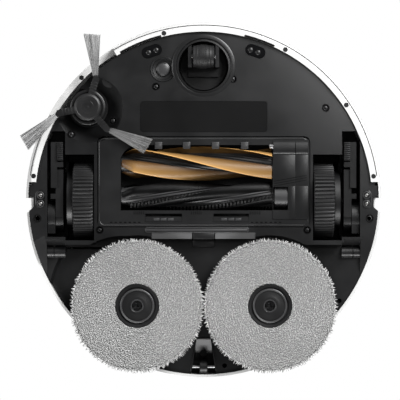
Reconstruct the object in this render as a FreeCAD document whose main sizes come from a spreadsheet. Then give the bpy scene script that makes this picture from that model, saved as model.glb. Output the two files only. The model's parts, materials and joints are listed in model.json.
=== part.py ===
import FreeCAD, Part
import math
import os

import Sketcher

# Robot vacuum with two round mops, a swing-out side brush, climbing legs and a rising lidar turret.
# Frame: origin on the floor under the middle of the body, +Z up, the front faces -Y.
# Seen from behind, looking forwards, +X is the robot's left and -X its right.

SIZES = {
    # body
    "shell_radius": 175.0,
    "shell_wall": 2.4,
    "deck_skin": 2.5,
    "chassis_radius": 172.3,
    "front_radius": 165.0,
    "skin": 2.5,
    "floor_height": 10.0,
    "flat_radius": 95.0,
    "dome_rise": 5.0,
    "bay_edge_x": 51.2,
    "bay_corner_y": 44.0,
    "channel_side": 154.6,
    "mop_floor_height": 24.0,
    "rim_top": 60.0,
    "deck_height": 78.0,
    "lid_ledge_height": 83.4,
    "lid_radius": 140.0,
    "lid_top": 86.0,
    "turret_top": 89.0,
    # bumper
    "bumper_end": -2.0,
    "lip_end": -17.7,
    "lip_bottom": 11.0,
    "lip_top": 13.4,
    "lip_inner": 165.7,
    "bumper_top": 80.0,
    "lip_play": 3.5,
    "flange_inner": 168.7,
    "flange_bottom": 27.0,
    "flange_top": 28.4,
    # wheels
    "wheel_radius": 37.5,
    "tread_near": 108.5,
    "tread_far": 128.7,
    "well_near": 107.6,
    "well_far": 136.2,
    "well_front": -44.8,
    "well_back": 39.8,
    "well_top": 75.7,
    "well_wall": 2.0,
    "pivot_pin": 3.0,
    "rim_radius": 32.0,
    "rim_bore": 27.0,
    "hub_radius": 9.0,
    "gear_case_radius": 29.5,
    "gear_case_near": 129.4,
    "gear_case_far": 134.6,
    "pivot_y": -30.0,
    "pivot_height": 60.0,
    # climbing legs
    "channel_far": 154.1,
    "channel_front": -67.8,
    "channel_back": 36.4,
    "channel_top": 60.0,
    "leg_pivot_y": 17.0,
    "leg_pivot_height": 33.0,
    "leg_near": 138.4,
    "leg_pad_far": 144.4,
    "leg_arm_far": 145.8,
    "leg_front": -57.0,
    # mops
    "mop_x": 65.1,
    "mop_y": 103.7,
    "mop_radius": 64.6,
    "pad_height": 7.0,
    "pad_hole": 21.5,
    "plate_radius": 60.0,
    "plate_top": 12.0,
    "mop_recess_radius": 69.0,
    "mop_arm_length": 50.0,
    "mop_shift_x": 13.8,
    "mop_shift_y": 1.9,
    "mop_swing": 7.9,
    "shaft_hole": 11.5,
    "shaft_radius": 10.0,
    "arm_floor_height": 36.0,
    "arm_post": 4.0,
    "arm_thickness": 5.4,
    # rollers
    "front_roller_y": -36.0,
    "rear_roller_y": -3.4,
    "roller_height": 20.0,
    "front_roller_radius": 16.8,
    "rear_roller_radius": 14.8,
    "roller_core": 9.0,
    "roller_near": -80.9,
    "roller_far": 67.5,
    "gear_near": 86.0,
    "gear_far": 91.5,
    "stub_radius": 3.0,
    "housing_near": -87.0,
    "housing_far": 96.0,
    "housing_front": -60.0,
    "housing_back": 24.0,
    "housing_top": 42.0,
    # roller guard
    "guard_near": -103.8,
    "guard_far": 104.1,
    "guard_front": -61.9,
    "guard_back": 26.0,
    "guard_edge": 1.4,
    "mouth_near": -81.4,
    "mouth_far": 68.0,
    "mouth_front": -54.1,
    "mouth_back": 10.2,
    # caster
    "caster_y": -131.6,
    "caster_well": 24.6,
    "caster_wheel_y": -141.2,
    "caster_wheel_radius": 12.0,
    "caster_half_width": 10.5,
    "caster_axle": 2.0,
    "cheek_near": 11.7,
    "cheek_far": 15.2,
    "rear_wheel_y": 165.0,
    "rear_wheel_height": 26.0,
    "rear_wheel_radius": 7.0,
    "rear_axle": 1.5,
    # side brush
    "brush_x": -113.9,
    "brush_y": -91.2,
    "brush_hub": 13.1,
    "brush_ring": 17.3,
    "brush_pocket": 36.0,
    "brush_arm_x": -92.9,
    "brush_arm_y": -117.7,
    "brush_shift_x": -7.8,
    "brush_shift_y": -8.8,
    "brush_way_length": 11.8,
    "brush_way_angle": 48.4,
    # top
    "turret_y": 62.0,
    "turret_radius": 38.0,
    "turret_floor": 62.0,
    "lid_bottom": 83.6,
    # inside
    "bin_half": 60.0,
    "bin_front": -66.0,
    "bin_back": 20.0,
    "bin_bottom": 46.4,
    "bin_top": 81.6,
    "bin_wall": 2.0,
    "fan_radius": 31.0,
    "fan_bottom": 30.0,
    "fan_top": 54.0,
}


class Size:
    """A length that carries its value in millimetres and the spreadsheet formula that it comes from."""

    def __init__(self, value, formula=None):
        self.value = float(value)
        self.formula = formula if formula else f"({self.value:.6g})"

    def __add__(self, other):
        other = size(other)
        return Size(self.value + other.value, f"({self.formula} + {other.formula})")

    def __sub__(self, other):
        other = size(other)
        return Size(self.value - other.value, f"({self.formula} - {other.formula})")

    def __mul__(self, other):
        other = size(other)
        return Size(self.value * other.value, f"({self.formula} * {other.formula})")

    def __truediv__(self, other):
        other = size(other)
        return Size(self.value / other.value, f"({self.formula} / {other.formula})")

    def __neg__(self):
        return Size(-self.value, f"(0 - {self.formula})")

    def __radd__(self, other):
        return size(other) + self

    def __rsub__(self, other):
        return size(other) - self

    def __rmul__(self, other):
        return size(other) * self

    def __float__(self):
        return self.value


class Sheet:
    """The spreadsheet of driving dimensions: sheet.name is the Size held in the cell of that alias."""

    def __init__(self, document, values):
        self.cells = document.addObject("Spreadsheet::Sheet", "Sizes")
        for row, (alias, value) in enumerate(values.items(), start=1):
            self.cells.set(f"A{row}", str(value))
            self.cells.setAlias(f"A{row}", alias)
            setattr(self, alias, Size(value, f"Sizes.{alias}"))


def size(value):
    return value if isinstance(value, Size) else Size(value)


doc = FreeCAD.newDocument("robot_vacuum")
S = Sheet(doc, SIZES)
doc.recompute()
NODES = {}
SIDES = {"left": 1, "right": -1}
ALONG = {
    "X": FreeCAD.Rotation(FreeCAD.Vector(0, 1, 0), 90),
    "Y": FreeCAD.Rotation(FreeCAD.Vector(1, 0, 0), -90),
    "Z": FreeCAD.Rotation(),
}


# ---------------------------------------------------------------- building blocks

def keep(node, thing):
    """Names a finished sub-part and puts it on the list of parts to write."""
    thing.Label = node
    NODES[node] = thing
    return thing


def place(thing, position, rotation=None):
    """Puts a shape at a position whose three coordinates follow the sheet."""
    point = [size(value) for value in position]
    base = FreeCAD.Vector(*[float(value) for value in point])
    thing.Placement = FreeCAD.Placement(base, rotation or FreeCAD.Rotation())
    for axis, value in zip("xyz", point):
        thing.setExpression(f"Placement.Base.{axis}", value.formula)
    return thing


def measure(thing, **lengths):
    """Sets lengths of a primitive, each bound to the formula of its size."""
    for name, value in lengths.items():
        setattr(thing, name, float(value))
        thing.setExpression(name, size(value).formula)
    return thing


def box(name, x, y, z):
    """A block between a low and a high value on each axis."""
    spans = [sorted((size(a) for a in span), key=float) for span in (x, y, z)]
    block = doc.addObject("Part::Box", name)
    lengths = [high - low for low, high in spans]
    measure(block, Length=lengths[0], Width=lengths[1], Height=lengths[2])
    return place(block, [low for low, high in spans])


def side_box(name, side, x, y, z):
    """A block on one side of the robot: x counts outwards from the middle."""
    return box(name, (size(x[0]) * side, size(x[1]) * side), y, z)


def rod(name, axis, centre, radius, span):
    """A cylinder along X, Y or Z: centre gives its other two coordinates, in X, Y, Z order."""
    low, high = sorted((size(a) for a in span), key=float)
    bar = doc.addObject("Part::Cylinder", name)
    measure(bar, Radius=radius, Height=high - low)
    position = list(centre)
    position.insert("XYZ".index(axis), low)
    return place(bar, position, ALONG[axis])


def cone(name, centre, radii, z):
    """A cone about +Z, with its lower and its upper radius."""
    low, high = size(z[0]), size(z[1])
    shape = doc.addObject("Part::Cone", name)
    measure(shape, Radius1=radii[0], Radius2=radii[1], Height=high - low)
    return place(shape, [centre[0], centre[1], low])


def ball(name, centre, radius):
    """A sphere."""
    shape = doc.addObject("Part::Sphere", name)
    measure(shape, Radius=radius)
    return place(shape, centre)


def fuse(name, *shapes):
    """One shape of several."""
    whole = doc.addObject("Part::MultiFuse", name)
    whole.Shapes = list(shapes)
    return whole


def cut(name, base, *tools):
    """A base less one tool or several."""
    tool = tools[0] if len(tools) == 1 else fuse(f"{name}_tools", *tools)
    rest = doc.addObject("Part::Cut", name)
    rest.Base = base
    rest.Tool = tool
    return rest


def common(name, first, second):
    """What two shapes share."""
    shared = doc.addObject("Part::Common", name)
    shared.Base = first
    shared.Tool = second
    return shared


def rounded(name, base, radius, chosen=lambda edge: True):
    """Rounds the edges of a shape that the test picks."""
    doc.recompute()
    result = doc.addObject("Part::Fillet", name)
    result.Base = base
    edges = enumerate(base.Shape.Edges, start=1)
    result.Edges = [(number, radius, radius) for number, edge in edges if chosen(edge)]
    return result


def upright(edge):
    """True for a straight edge along Z."""
    first, last = edge.Vertexes[0].Point, edge.Vertexes[-1].Point
    return abs(first.x - last.x) + abs(first.y - last.y) < 1e-6 and abs(first.z - last.z) > 1e-3


def slot(name, centre, length, width, z, angle=0.0):
    """An upright block with two round ends, turned about Z."""
    half = (size(length) - width) / 2
    bar = box(f"{name}_bar", (-half, half), (size(width) / -2, size(width) / 2), z)
    ends = [rod(f"{name}_end_{n}", "Z", (half * n, 0), size(width) / 2, z) for n in (-1, 1)]
    whole = fuse(name, bar, *ends)
    return place(whole, [centre[0], centre[1], 0], FreeCAD.Rotation(FreeCAD.Vector(0, 0, 1), angle))


def tube(name, axis, centre, radii, span):
    """A hollow cylinder between an inner and an outer radius."""
    low, high = span
    outer = rod(f"{name}_outside", axis, centre, radii[1], span)
    inner = rod(f"{name}_inside", axis, centre, radii[0], (size(low) - 1, size(high) + 1))
    return cut(name, outer, inner)


def sketch_on(body, name, role, outline):
    """A closed outline on an origin plane of its body. A point (x, y, radius) ends an arc that
    bulges away from the outline's inside, and every coordinate follows the sheet."""
    sketch = body.newObject("Sketcher::SketchObject", name)
    plane = [part for part in body.Origin.OriginFeatures if part.Role == role][0]
    sketch.AttachmentSupport = [(plane, "")]
    sketch.MapMode = "FlatFace"
    points = [FreeCAD.Vector(float(p[0]), float(p[1]), 0) for p in outline]
    ends = []
    for index, start in enumerate(points):
        following = (index + 1) % len(points)
        end = points[following]
        if len(outline[following]) == 3:
            radius = float(outline[following][2])
            half = (end - start).Length / 2
            middle = (start + end) / 2
            across = FreeCAD.Vector(end.y - start.y, start.x - end.x, 0).normalize()
            sag = radius - math.sqrt(radius * radius - half * half)
            curve = Part.ArcOfCircle(start, middle + across * sag, end)
            sketch.addGeometry(curve)
            flipped = (curve.StartPoint - start).Length > 1e-6
            ends.append((2, 1) if flipped else (1, 2))
        else:
            sketch.addGeometry(Part.LineSegment(start, end))
            ends.append((1, 2))
    for index in range(len(points)):
        following = (index + 1) % len(points)
        joint = Sketcher.Constraint("Coincident", index, ends[index][1], following, ends[following][0])
        sketch.addConstraint(joint)
    for index, point in enumerate(outline):
        corner = (index, ends[index][0])
        for kind, value, line in (("DistanceX", size(point[0]), -2), ("DistanceY", size(point[1]), -1)):
            if value.value == 0.0:
                sketch.addConstraint(Sketcher.Constraint("PointOnObject", *corner, line))
            else:
                rule = Sketcher.Constraint(kind, -1, 1, *corner, value.value)
                sketch.setExpression(f"Constraints[{sketch.addConstraint(rule)}]", value.formula)
        if len(point) == 3:
            number = sketch.addConstraint(Sketcher.Constraint("Radius", index - 1, float(point[2])))
            sketch.setExpression(f"Constraints[{number}]", size(point[2]).formula)
    return sketch


def turned(name, outline, position=(0, 0, 0), axis="Z", angle=360.0):
    """A turned solid: the outline's points are (radius, distance along the axis)."""
    body = doc.addObject("PartDesign::Body", name)
    sketch = sketch_on(body, f"{name}_outline", "XZ_Plane", outline)
    turn = body.newObject("PartDesign::Revolution", f"{name}_turn")
    turn.Profile = sketch
    turn.ReferenceAxis = (sketch, ["V_Axis"])
    turn.Angle = angle
    sketch.Visibility = False
    return place(body, position, ALONG[axis])


def padded(name, outline, plane, span):
    """A flat outline on the XY or YZ plane, drawn out between two values along its normal."""
    body = doc.addObject("PartDesign::Body", name)
    sketch = sketch_on(body, f"{name}_outline", f"{plane}_Plane", outline)
    low, high = sorted((size(a) for a in span), key=float)
    pad = body.newObject("PartDesign::Pad", f"{name}_pad")
    pad.Profile = sketch
    measure(pad, Length=high - low)
    position = (0, 0, low) if plane == "XY" else (low, 0, 0)
    return place(body, position)


def ring_sector(name, radii, z, start, sweep):
    """A part of an upright ring, from a start angle over a sweep, in degrees about +Z."""
    low, high = z
    outer = rod(f"{name}_outside", "Z", (0, 0), radii[1], z)
    outer.Angle = sweep
    outer.Placement.Rotation = FreeCAD.Rotation(FreeCAD.Vector(0, 0, 1), start)
    inner = rod(f"{name}_inside", "Z", (0, 0), radii[0], (size(low) - 1, size(high) + 1))
    return cut(name, outer, inner)


# ---------------------------------------------------------------- shared places

SCREW_PLACES = [(-46.9, -111.4), (-89.1, -77.7), (-130.1, -64.6), (28.7, -118.7), (119.9, -90.4),
                (-102.2, 29.6), (101.9, 29.6)]
PLAIN_HOLES = [(-163.5, 18.1), (163.5, 18.1), (134.4, 99.8), (20.8, 164.0)]
BUMPER_SCREWS = [(-39.0, -164.0, 11.2), (-120.9, -121.1, 27.2), (-167.2, -23.6, 11.2), (80.4, -147.9, 11.2),
                 (140.4, -93.4, 11.2), (167.2, -23.3, 11.2)]
CLIFF_PLACES = [(-51.0, -146.4, -18.5), (51.0, -146.4, 18.5)]
BUTTON_PLACE = (0, -157.0)
LABEL_X = (-62.2, 62.5)
LABEL_Y = (-97.0, -66.9)
CARPET_PLACE = (-39.9, -128.8)
CONTACT_X = 160.6
CONTACT_YS = (-4.8, 3.6)
COMB_STARTS = (-47.9, -20.2, 8.2, 36.7)
LATCHES = [(-57.1, -21.5), (10.1, 44.3)]
BRUSH_ARM_ANGLES = (-73.1, 48.6, 168.0)
BRISTLE_ANGLES = [(-75.0, -86.3), (46.5, 33.0), (166.0, 150.2)]
CHIP_PLACES = [(-50, -118), (-20, -105), (12, -118), (38, -104)]
# a length past the whole body, and the clearance of a pin in its bore
BEYOND = 200
FIT = 0.06
floor_top = S.floor_height + S.skin
mop_floor_top = S.mop_floor_height + S.skin
body_top = S.well_top + S.well_wall


# ---------------------------------------------------------------- chassis

def domed(name, inset, top):
    """The body's bowl: a flat underside that curves up to the rim. inset is how far inside it lies."""
    span = S.chassis_radius - inset - S.flat_radius
    radius = (span * span + S.dome_rise * S.dome_rise) / (S.dome_rise * 2)
    low = S.floor_height + inset
    outline = [(0, low), (S.flat_radius, low), (S.chassis_radius - inset, low + S.dome_rise, radius),
               (S.chassis_radius - inset, top), (0, top)]
    return turned(name, outline)


def front_zone(name, inset):
    """The part of the bowl in front of the mop bay. Each strip of its back edge slopes up from a foot
    to a head, at the mop floor."""
    strips = [
        ("middle", (-S.bay_edge_x, S.bay_edge_x), 32.4, 38.3),
        ("left_corner", (S.bay_edge_x, 136.0), S.bay_corner_y, S.bay_corner_y),
        ("right_corner", (-136.0, -S.bay_edge_x), S.bay_corner_y, S.bay_corner_y),
        ("left_channel", (136.0, S.channel_side), S.channel_back, 46.2),
        ("right_channel", (-S.channel_side, -136.0), S.channel_back, 46.2),
        ("left_strip", (S.channel_side, 180.0), 22.0, 74.0),
        ("right_strip", (-180.0, -S.channel_side), 22.0, 74.0),
    ]
    pieces = []
    for label, (low, high), foot, head in strips:
        outline = [(-180.0, -1.0), (foot - inset, -1.0), (foot - inset, S.floor_height),
                   (head - inset, S.mop_floor_height), (head - inset, mop_floor_top + inset / 2),
                   (-180.0, mop_floor_top + inset / 2)]
        pieces.append(padded(f"{name}_{label}", outline, "YZ", (low + inset / 2, high - inset / 2)))
    return fuse(name, *pieces)


def mop_bays(name, grow):
    """The room that the mops need in front of them, the right one also where its arm swings out."""
    radius = S.mop_recess_radius + grow
    z = (-2, mop_floor_top)
    bays = [rod(f"{name}_{side}", "Z", (S.mop_x * sign, S.mop_y), radius, z) for side, sign in SIDES.items()]
    out = (-S.mop_x - S.mop_shift_x, S.mop_y - S.mop_shift_y)
    swung_play = 2.4
    bays.append(rod(f"{name}_out", "Z", out, radius - swung_play, z))
    return fuse(name, *bays)


def bumper_gap(name, grow):
    """The ring in front that the chassis leaves to the bumper."""
    ring = tube(f"{name}_ring", "Z", (0, 0), (S.front_radius - grow, BEYOND), (-2, 100))
    front = box(f"{name}_front", (-BEYOND, BEYOND), (-BEYOND, S.lip_end + grow), (-3, 101))
    rim = tube(f"{name}_rim", "Z", (0, 0), (S.lip_inner + S.lip_play - grow, BEYOND), (-2, 100))
    play = box(f"{name}_play", (-BEYOND, BEYOND), (-BEYOND, S.lip_end + S.lip_play + grow), (-3, 101))
    return fuse(name, common(f"{name}_lip", ring, front), common(f"{name}_end", rim, play))


def tray():
    """The chassis bowl with its raised mop floor at the back, one skin thick."""
    front = common("front_part", domed("bowl_outside", 0, body_top), front_zone("front_zone", 0))
    front = cut("front_part_bayed", front, mop_bays("bays", 0))
    back = rod("back_part", "Z", (0, 0), S.chassis_radius, (S.mop_floor_height, S.rim_top))
    outside = cut("tray_outside", fuse("tray_block", front, back), bumper_gap("bumper_gap", 0))
    bowl = domed("bowl_inside", S.skin, body_top + 3)
    hollow = common("front_hollow", bowl, front_zone("front_zone_in", S.skin))
    hollow = cut("front_hollow_bayed", hollow, mop_bays("bays_wide", S.skin))
    above = rod("back_hollow", "Z", (0, 0), S.chassis_radius - S.skin, (mop_floor_top, S.rim_top + 1))
    inside = cut("tray_inside", fuse("tray_hollow", hollow, above), bumper_gap("bumper_gap_wide", S.skin))
    return cut("tray", outside, inside)


def wheel_well(name, sign, grow):
    """The well of one drive wheel with the channel of its climbing leg beside it."""
    wheel = side_box(f"{name}_wheel", sign, (S.well_near - grow, S.well_far + grow),
                     (S.well_front - grow, S.well_back + grow), (-1, S.well_top + grow))
    leg = side_box(f"{name}_leg", sign, (S.well_far - grow, S.channel_far + grow),
                   (S.channel_front - grow, S.channel_back + grow), (-1, S.channel_top + grow))
    return fuse(name, wheel, leg)


def brush_pocket(name, grow):
    """The dish around the side brush, with room for its arm to swing out through the rim."""
    z = (6, 25.0 + grow)
    hub = (S.brush_x, S.brush_y)
    out = (S.brush_x + S.brush_shift_x, S.brush_y + S.brush_shift_y)
    ring_play = 1.7
    dish = cone(f"{name}_dish", hub, (S.brush_pocket + 4 + grow, S.brush_pocket - 16.5 + grow), z)
    ring = rod(f"{name}_ring", "Z", hub, S.brush_ring + ring_play + grow, z)
    way_out = rod(f"{name}_way_out", "Z", out, S.brush_ring + ring_play + grow, z)
    return fuse(name, dish, ring, way_out)


def brush_arm_way(name, radius, z):
    """The path that the neck of the side brush's arm sweeps as it swings out."""
    out = (S.brush_x + S.brush_shift_x, S.brush_y + S.brush_shift_y)
    middle = (S.brush_x + S.brush_shift_x / 2, S.brush_y + S.brush_shift_y / 2)
    ends = [rod(f"{name}_{n}", "Z", at, radius, z) for n, at in enumerate(((S.brush_x, S.brush_y), out))]
    length = S.brush_way_length + 2 * radius
    way = slot(f"{name}_between", middle, length, 2 * radius + 0.6, z, float(S.brush_way_angle))
    return fuse(name, *ends, way)


def screw_bosses():
    """The posts that the underside's screws go up into."""
    z = (S.floor_height + 1.5, 21)
    bosses = [rod(f"boss_{n}", "Z", spot, 4.6, z) for n, spot in enumerate(SCREW_PLACES)]
    return fuse("screw_bosses", *bosses)


def screw_holes():
    """A seat and a bore for each screw, and the plain holes."""
    holes = []
    for n, spot in enumerate(SCREW_PLACES):
        holes.append(rod(f"screw_seat_{n}", "Z", spot, 3.3, (0, S.floor_height + 2.4)))
        holes.append(rod(f"screw_bore_{n}", "Z", spot, 1.5, (0, 19.5)))
    for n, spot in enumerate(PLAIN_HOLES):
        holes.append(rod(f"plain_hole_{n}", "Z", spot, 2.3, (0, 40)))
    return holes


def sensor_holes():
    """The holes for the cliff sensors, the carpet sensor and the charging contacts."""
    holes = [slot(f"cliff_hole_{n}", (x, y), 20.4, 11.9, (0, 22), angle)
             for n, (x, y, angle) in enumerate(CLIFF_PLACES)]
    holes.append(rod("carpet_hole", "Z", CARPET_PLACE, 12.9, (0, 20)))
    for side, sign in SIDES.items():
        seat = (CONTACT_X * sign, sum(CONTACT_YS) / 2)
        holes.append(slot(f"{side}_contact_seat", seat, 17.0, 8.4, (0, 14.6), 90))
        for n, y in enumerate(CONTACT_YS):
            holes.append(rod(f"{side}_contact_hole_{n}", "Z", (CONTACT_X * sign, y), 2.9, (0, 30)))
    return holes


def mop_shaft_holes():
    """A round hole over the left mop, and a long one over the right mop, whose arm swings."""
    z = (20, 40)
    left = rod("left_shaft_hole", "Z", (S.mop_x, S.mop_y), S.shaft_hole, z)
    rest = rod("right_shaft_hole", "Z", (-S.mop_x, S.mop_y), S.shaft_hole, z)
    out = (-S.mop_x - S.mop_shift_x, S.mop_y - S.mop_shift_y)
    swung = rod("right_shaft_out", "Z", out, S.shaft_hole, z)
    between = (-S.mop_x - S.mop_shift_x / 2, S.mop_y - S.mop_shift_y / 2)
    width = S.shaft_hole * 2
    way_length = 13.9
    way = slot("right_shaft_way", between, width + way_length, width, z, float(S.mop_swing))
    return [left, rest, swung, way]


def rear_bay(name, grow):
    """The bay of the small rear roller, wider towards the back."""
    near, near_half = 137.0 - grow, 7.5 + grow
    far, far_half = 180.0, 13.5 + grow
    outline = [(-near_half, near), (near_half, near), (far_half, far), (-far_half, far)]
    return padded(name, outline, "XY", (20, 42 + grow))


def side_notches():
    """The gap on each side between the bumper's end and the back of the shell."""
    outline = [(167.6, -2.6), (180.0, -8.0), (180.0, 16.0), (172.2, 11.0), (167.6, 7.0)]
    left = padded("left_notch", outline, "XY", (-1, 61))
    mirrored = [(-x, y) for x, y in reversed(outline)]
    return [left, padded("right_notch", mirrored, "XY", (-1, 61))]


def arm_room(name, radii, z):
    """The room above the right mop that its lifter arm turns in, behind the front floor."""
    return cone(name, (-S.mop_x - 6, S.mop_y - 6), radii, z)


def arm_floor():
    """The raised floor that the right mop's arm slides over."""
    above = box("arm_floor_block", (-152, -60), (48.9, 160), (S.mop_floor_height + 1, S.arm_floor_height))
    disc_z = (S.mop_floor_height, S.arm_floor_height + 1)
    disc = rod("arm_floor_disc", "Z", (0, 0), S.chassis_radius - 1, disc_z)
    round_floor = common("arm_floor_round", above, disc)
    room = arm_room("arm_floor_cone", (87, 83), (18, S.arm_floor_height - 0.5))
    return common("arm_floor", round_floor, room)


def arm_posts():
    """The posts, each with a shoulder, that the right mop's arm and the side brush's arm turn on."""
    mop_post = (-S.mop_x, S.mop_y - S.mop_arm_length)
    brush_post = (S.brush_arm_x, S.brush_arm_y)
    shoulder = 7.0
    return [rod("mop_post_shoulder", "Z", mop_post, shoulder, (34, S.arm_floor_height + 0.2)),
            rod("mop_post_pin", "Z", mop_post, S.arm_post, (34, 45)),
            rod("brush_post_shoulder", "Z", brush_post, shoulder, (14.0, 28.4)),
            rod("brush_post_pin", "Z", brush_post, S.arm_post, (14.0, 38))]


def chassis_walls():
    """The walls of the wells and of the side brush's pocket, and the screw posts, inside the bowl."""
    wells = [wheel_well(f"{side}_well_wall", sign, S.well_wall) for side, sign in SIDES.items()]
    walls = fuse("well_walls", *wells, brush_pocket("brush_pocket_wall", 2.2), screw_bosses())
    walls = common("well_walls_trimmed", walls, domed("bowl_trim", 0, body_top + 1))
    return cut("well_walls_fronted", walls, bumper_gap("bumper_gap_walls", 0))


def guard_seat():
    """The shallow seat that the roller guard closes into."""
    play = 0.8
    block = box("guard_room_block", (S.guard_near - play, S.guard_far + play),
                (S.guard_front - play, S.guard_back + play), (0, mop_floor_top))
    return rounded("guard_room", block, 6.0, upright)


def label_seat():
    """The shallow seat of the rating plate."""
    play = 0.3
    x, y = LABEL_X, LABEL_Y
    block = box("label_seat_block", (x[0] - play, x[1] + play), (y[0] - play, y[1] + play),
                (S.floor_height - 2, S.floor_height + 0.6))
    return rounded("label_seat", block, 3.0, upright)


def chassis_base():
    """The underside of the body, with every well, seat, hole, post and floor of it."""
    bay_trim = rod("rear_bay_trim", "Z", (0, 0), S.chassis_radius, (S.mop_floor_height, 50))
    bay_wall = common("rear_bay_wall", rear_bay("rear_bay_block", 2.0), bay_trim)
    whole = fuse("chassis_block", tray(), chassis_walls(), bay_wall)
    hollows = [wheel_well(f"{side}_well", sign, 0) for side, sign in SIDES.items()]
    hollows += [brush_pocket("brush_pocket", 0), guard_seat(), label_seat(), rear_bay("rear_bay", 0)]
    hollows += [rod("caster_hole", "Z", (0, S.caster_y), S.caster_well + 2.1, (0, 60))]
    hollows.append(brush_arm_way("brush_neck_way", 9.9, (20, 30)))
    hollows.append(brush_arm_way("brush_arm_way", 14.2, (28.4, 35)))
    hollows += screw_holes() + sensor_holes() + side_notches()
    shape = cut("chassis_cut", whole, *hollows)
    ramp_outline = [(136.0, S.mop_floor_height), (158.5, 38.0), (136.0, 38.0)]
    ramp = padded("rear_bay_ramp", ramp_outline, "YZ", (-8.0, 8.0))
    pin_lugs = [side_box(f"{side}_pin_lug", sign, (134.9, 138.0), (-38, -22), (50, S.well_top + 1))
                for side, sign in SIDES.items()]
    shape = fuse("chassis_with_arm_floor", shape, arm_floor(), ramp, *pin_lugs)
    recess_limit = box("arm_recess_limit", (-154.4, -62), (46.4, 150), (17, 34))
    arm_recess = common("arm_recess_limited", arm_room("arm_recess", (84, 80), (18, 33)), recess_limit)
    keyhole = rod("rear_bay_keyhole", "Z", (0, 152.0), 3.4, (20, 37))
    bores = [rod(f"{side}_pin_bore", "X", (S.pivot_y, S.pivot_height), S.pivot_pin, (120 * sign, 139 * sign))
             for side, sign in SIDES.items()]
    rear_axle = (S.rear_wheel_y, S.rear_wheel_height)
    bores.append(rod("rear_axle_bore", "X", rear_axle, S.rear_axle, (-13.4, 13.4)))
    shape = cut("chassis_hollowed", shape, arm_recess, keyhole, *mop_shaft_holes(), *bores)
    keep("chassis_base", fuse("chassis_base", shape, *arm_posts()))


# ---------------------------------------------------------------- shell, lid, bumper

def top_shell():
    """The white deck with the ledge of its lid, and the walls behind and inside the bumper."""
    under, over = S.deck_height, S.deck_height + S.deck_skin
    step, rail_near, rail_far, rail_top = 143.5, 166, 168.5, 83.5
    ledge, lip = 128, S.lid_radius + 0.6
    deck = turned("deck", [
        (0, under), (step - 2.5, under), (step, over), (step, rail_top), (rail_near, rail_top),
        (rail_near, under), (rail_far, under), (rail_far, 80.7), (174.2, 80.7), (S.shell_radius, 81.5),
        (S.shell_radius, 83.0), (S.shell_radius - 3, S.lid_top, 3.05), (lip, S.lid_top),
        (lip, S.lid_ledge_height), (ledge, S.lid_ledge_height), (ledge, over), (0, over)])
    back = ring_sector("back_wall", (S.shell_radius - S.shell_wall, S.shell_radius), (22, 81.2), 3.95, 172.1)
    chassis_room = rod("chassis_room", "Z", (0, 0), S.chassis_radius + 0.1, (0, S.rim_top + 0.5))
    back = cut("back_wall_eased", back, chassis_room)
    front = ring_sector("front_wall", (rail_near, rail_far), (18, 79), 186.4, 167.2)
    front = cut("front_wall_opened", front, ring_sector("shell_brush_room", (160, 172), (0, 70), 206, 36))
    openings = [
        box("bin_opening", (-62, 62), (-68, 22), (70, 84)),
        rod("turret_opening", "Z", (0, S.turret_y), S.turret_radius + 1.6, (70, 84)),
        rod("button_hole", "Z", BUTTON_PLACE, 6.7, (80, 90)),
    ]
    keep("top_shell", cut("top_shell", fuse("shell_block", deck, back, front), *openings))


def top_lid():
    """The round lid that lies on the shell's ledge, with the turret's hole."""
    disc = turned("lid_disc", [
        (0, S.lid_bottom), (S.lid_radius - 2, S.lid_bottom), (S.lid_radius, 85.4),
        (S.lid_radius - 0.8, S.lid_top), (0, S.lid_top)])
    hole = rod("lid_turret_hole", "Z", (0, S.turret_y), S.turret_radius + 1.2, (80, 90))
    keep("top_lid", cut("top_lid", disc, hole))


def bumper():
    """The front bumper with the lip of its foot, its window, and the screws that hold it."""
    inside = S.shell_radius - 2.3
    wall = turned("bumper_wall", [
        (S.lip_inner, S.lip_bottom), (170.6, S.lip_bottom), (S.shell_radius - 1, 15.0),
        (S.shell_radius, 17.0), (S.shell_radius, S.bumper_top), (inside, S.bumper_top),
        (inside, 17.6), (169.6, S.lip_top), (S.lip_inner, S.lip_top)])
    back = box("bumper_back", (-BEYOND, BEYOND), (S.bumper_end, BEYOND), (0, 100))
    lip_back = common("lip_back", rod("lip_back_disc", "Z", (0, 0), S.chassis_radius + 0.3, (0, 20)),
                      box("lip_back_box", (-BEYOND, BEYOND), (S.lip_end, 10), (0, 20)))
    brush_sweep = (209, 30)
    brush_way = ring_sector("brush_way", (150, 190), (0, S.flange_bottom), *brush_sweep)
    flange = ring_sector("bumper_flange", (S.flange_inner, S.shell_radius - 1),
                         (S.flange_bottom, S.flange_top), *brush_sweep)
    window = ring_sector("window_hole", (160, 190), (42, 66), 231.7, 76.6)
    head_radius, head_height, shank = 2.2, 1.1, 1.2
    seats = []
    screws = []
    for n, (x, y, z) in enumerate(BUMPER_SCREWS):
        seats.append(rod(f"lip_seat_{n}", "Z", (x, y), head_radius + 0.2, (z - 8, z + head_height)))
        seats.append(rod(f"lip_bore_{n}", "Z", (x, y), shank, (z - 8, z + 4)))
        head = rod(f"lip_screw_head_{n}", "Z", (x, y), head_radius, (z, z + head_height))
        stem = rod(f"lip_screw_shank_{n}", "Z", (x, y), shank, (z + 1, z + 2))
        screws.append(fuse(f"lip_screw_{n}", head, stem))
    open_wall = cut("bumper_open", wall, back, lip_back, brush_way, window)
    keep("bumper", cut("bumper", fuse("bumper_block", open_wall, flange), *seats))
    keep("bumper_window", ring_sector("bumper_window", (173.2, 174.8), (42.3, 65.7), 232, 76))
    keep("bumper_screws", fuse("bumper_screws", *screws))


def power_button():
    """A round button, kept in its hole by a flange under the lid."""
    outline = [(0, 82.4), (8.2, 82.4), (8.2, 83.3), (6.4, 83.3), (6.4, 86.2), (5.8, 86.7), (0, 86.7)]
    keep("power_button", turned("power_button", outline, (*BUTTON_PLACE, 0)))


# ---------------------------------------------------------------- caster and rear roller

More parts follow.
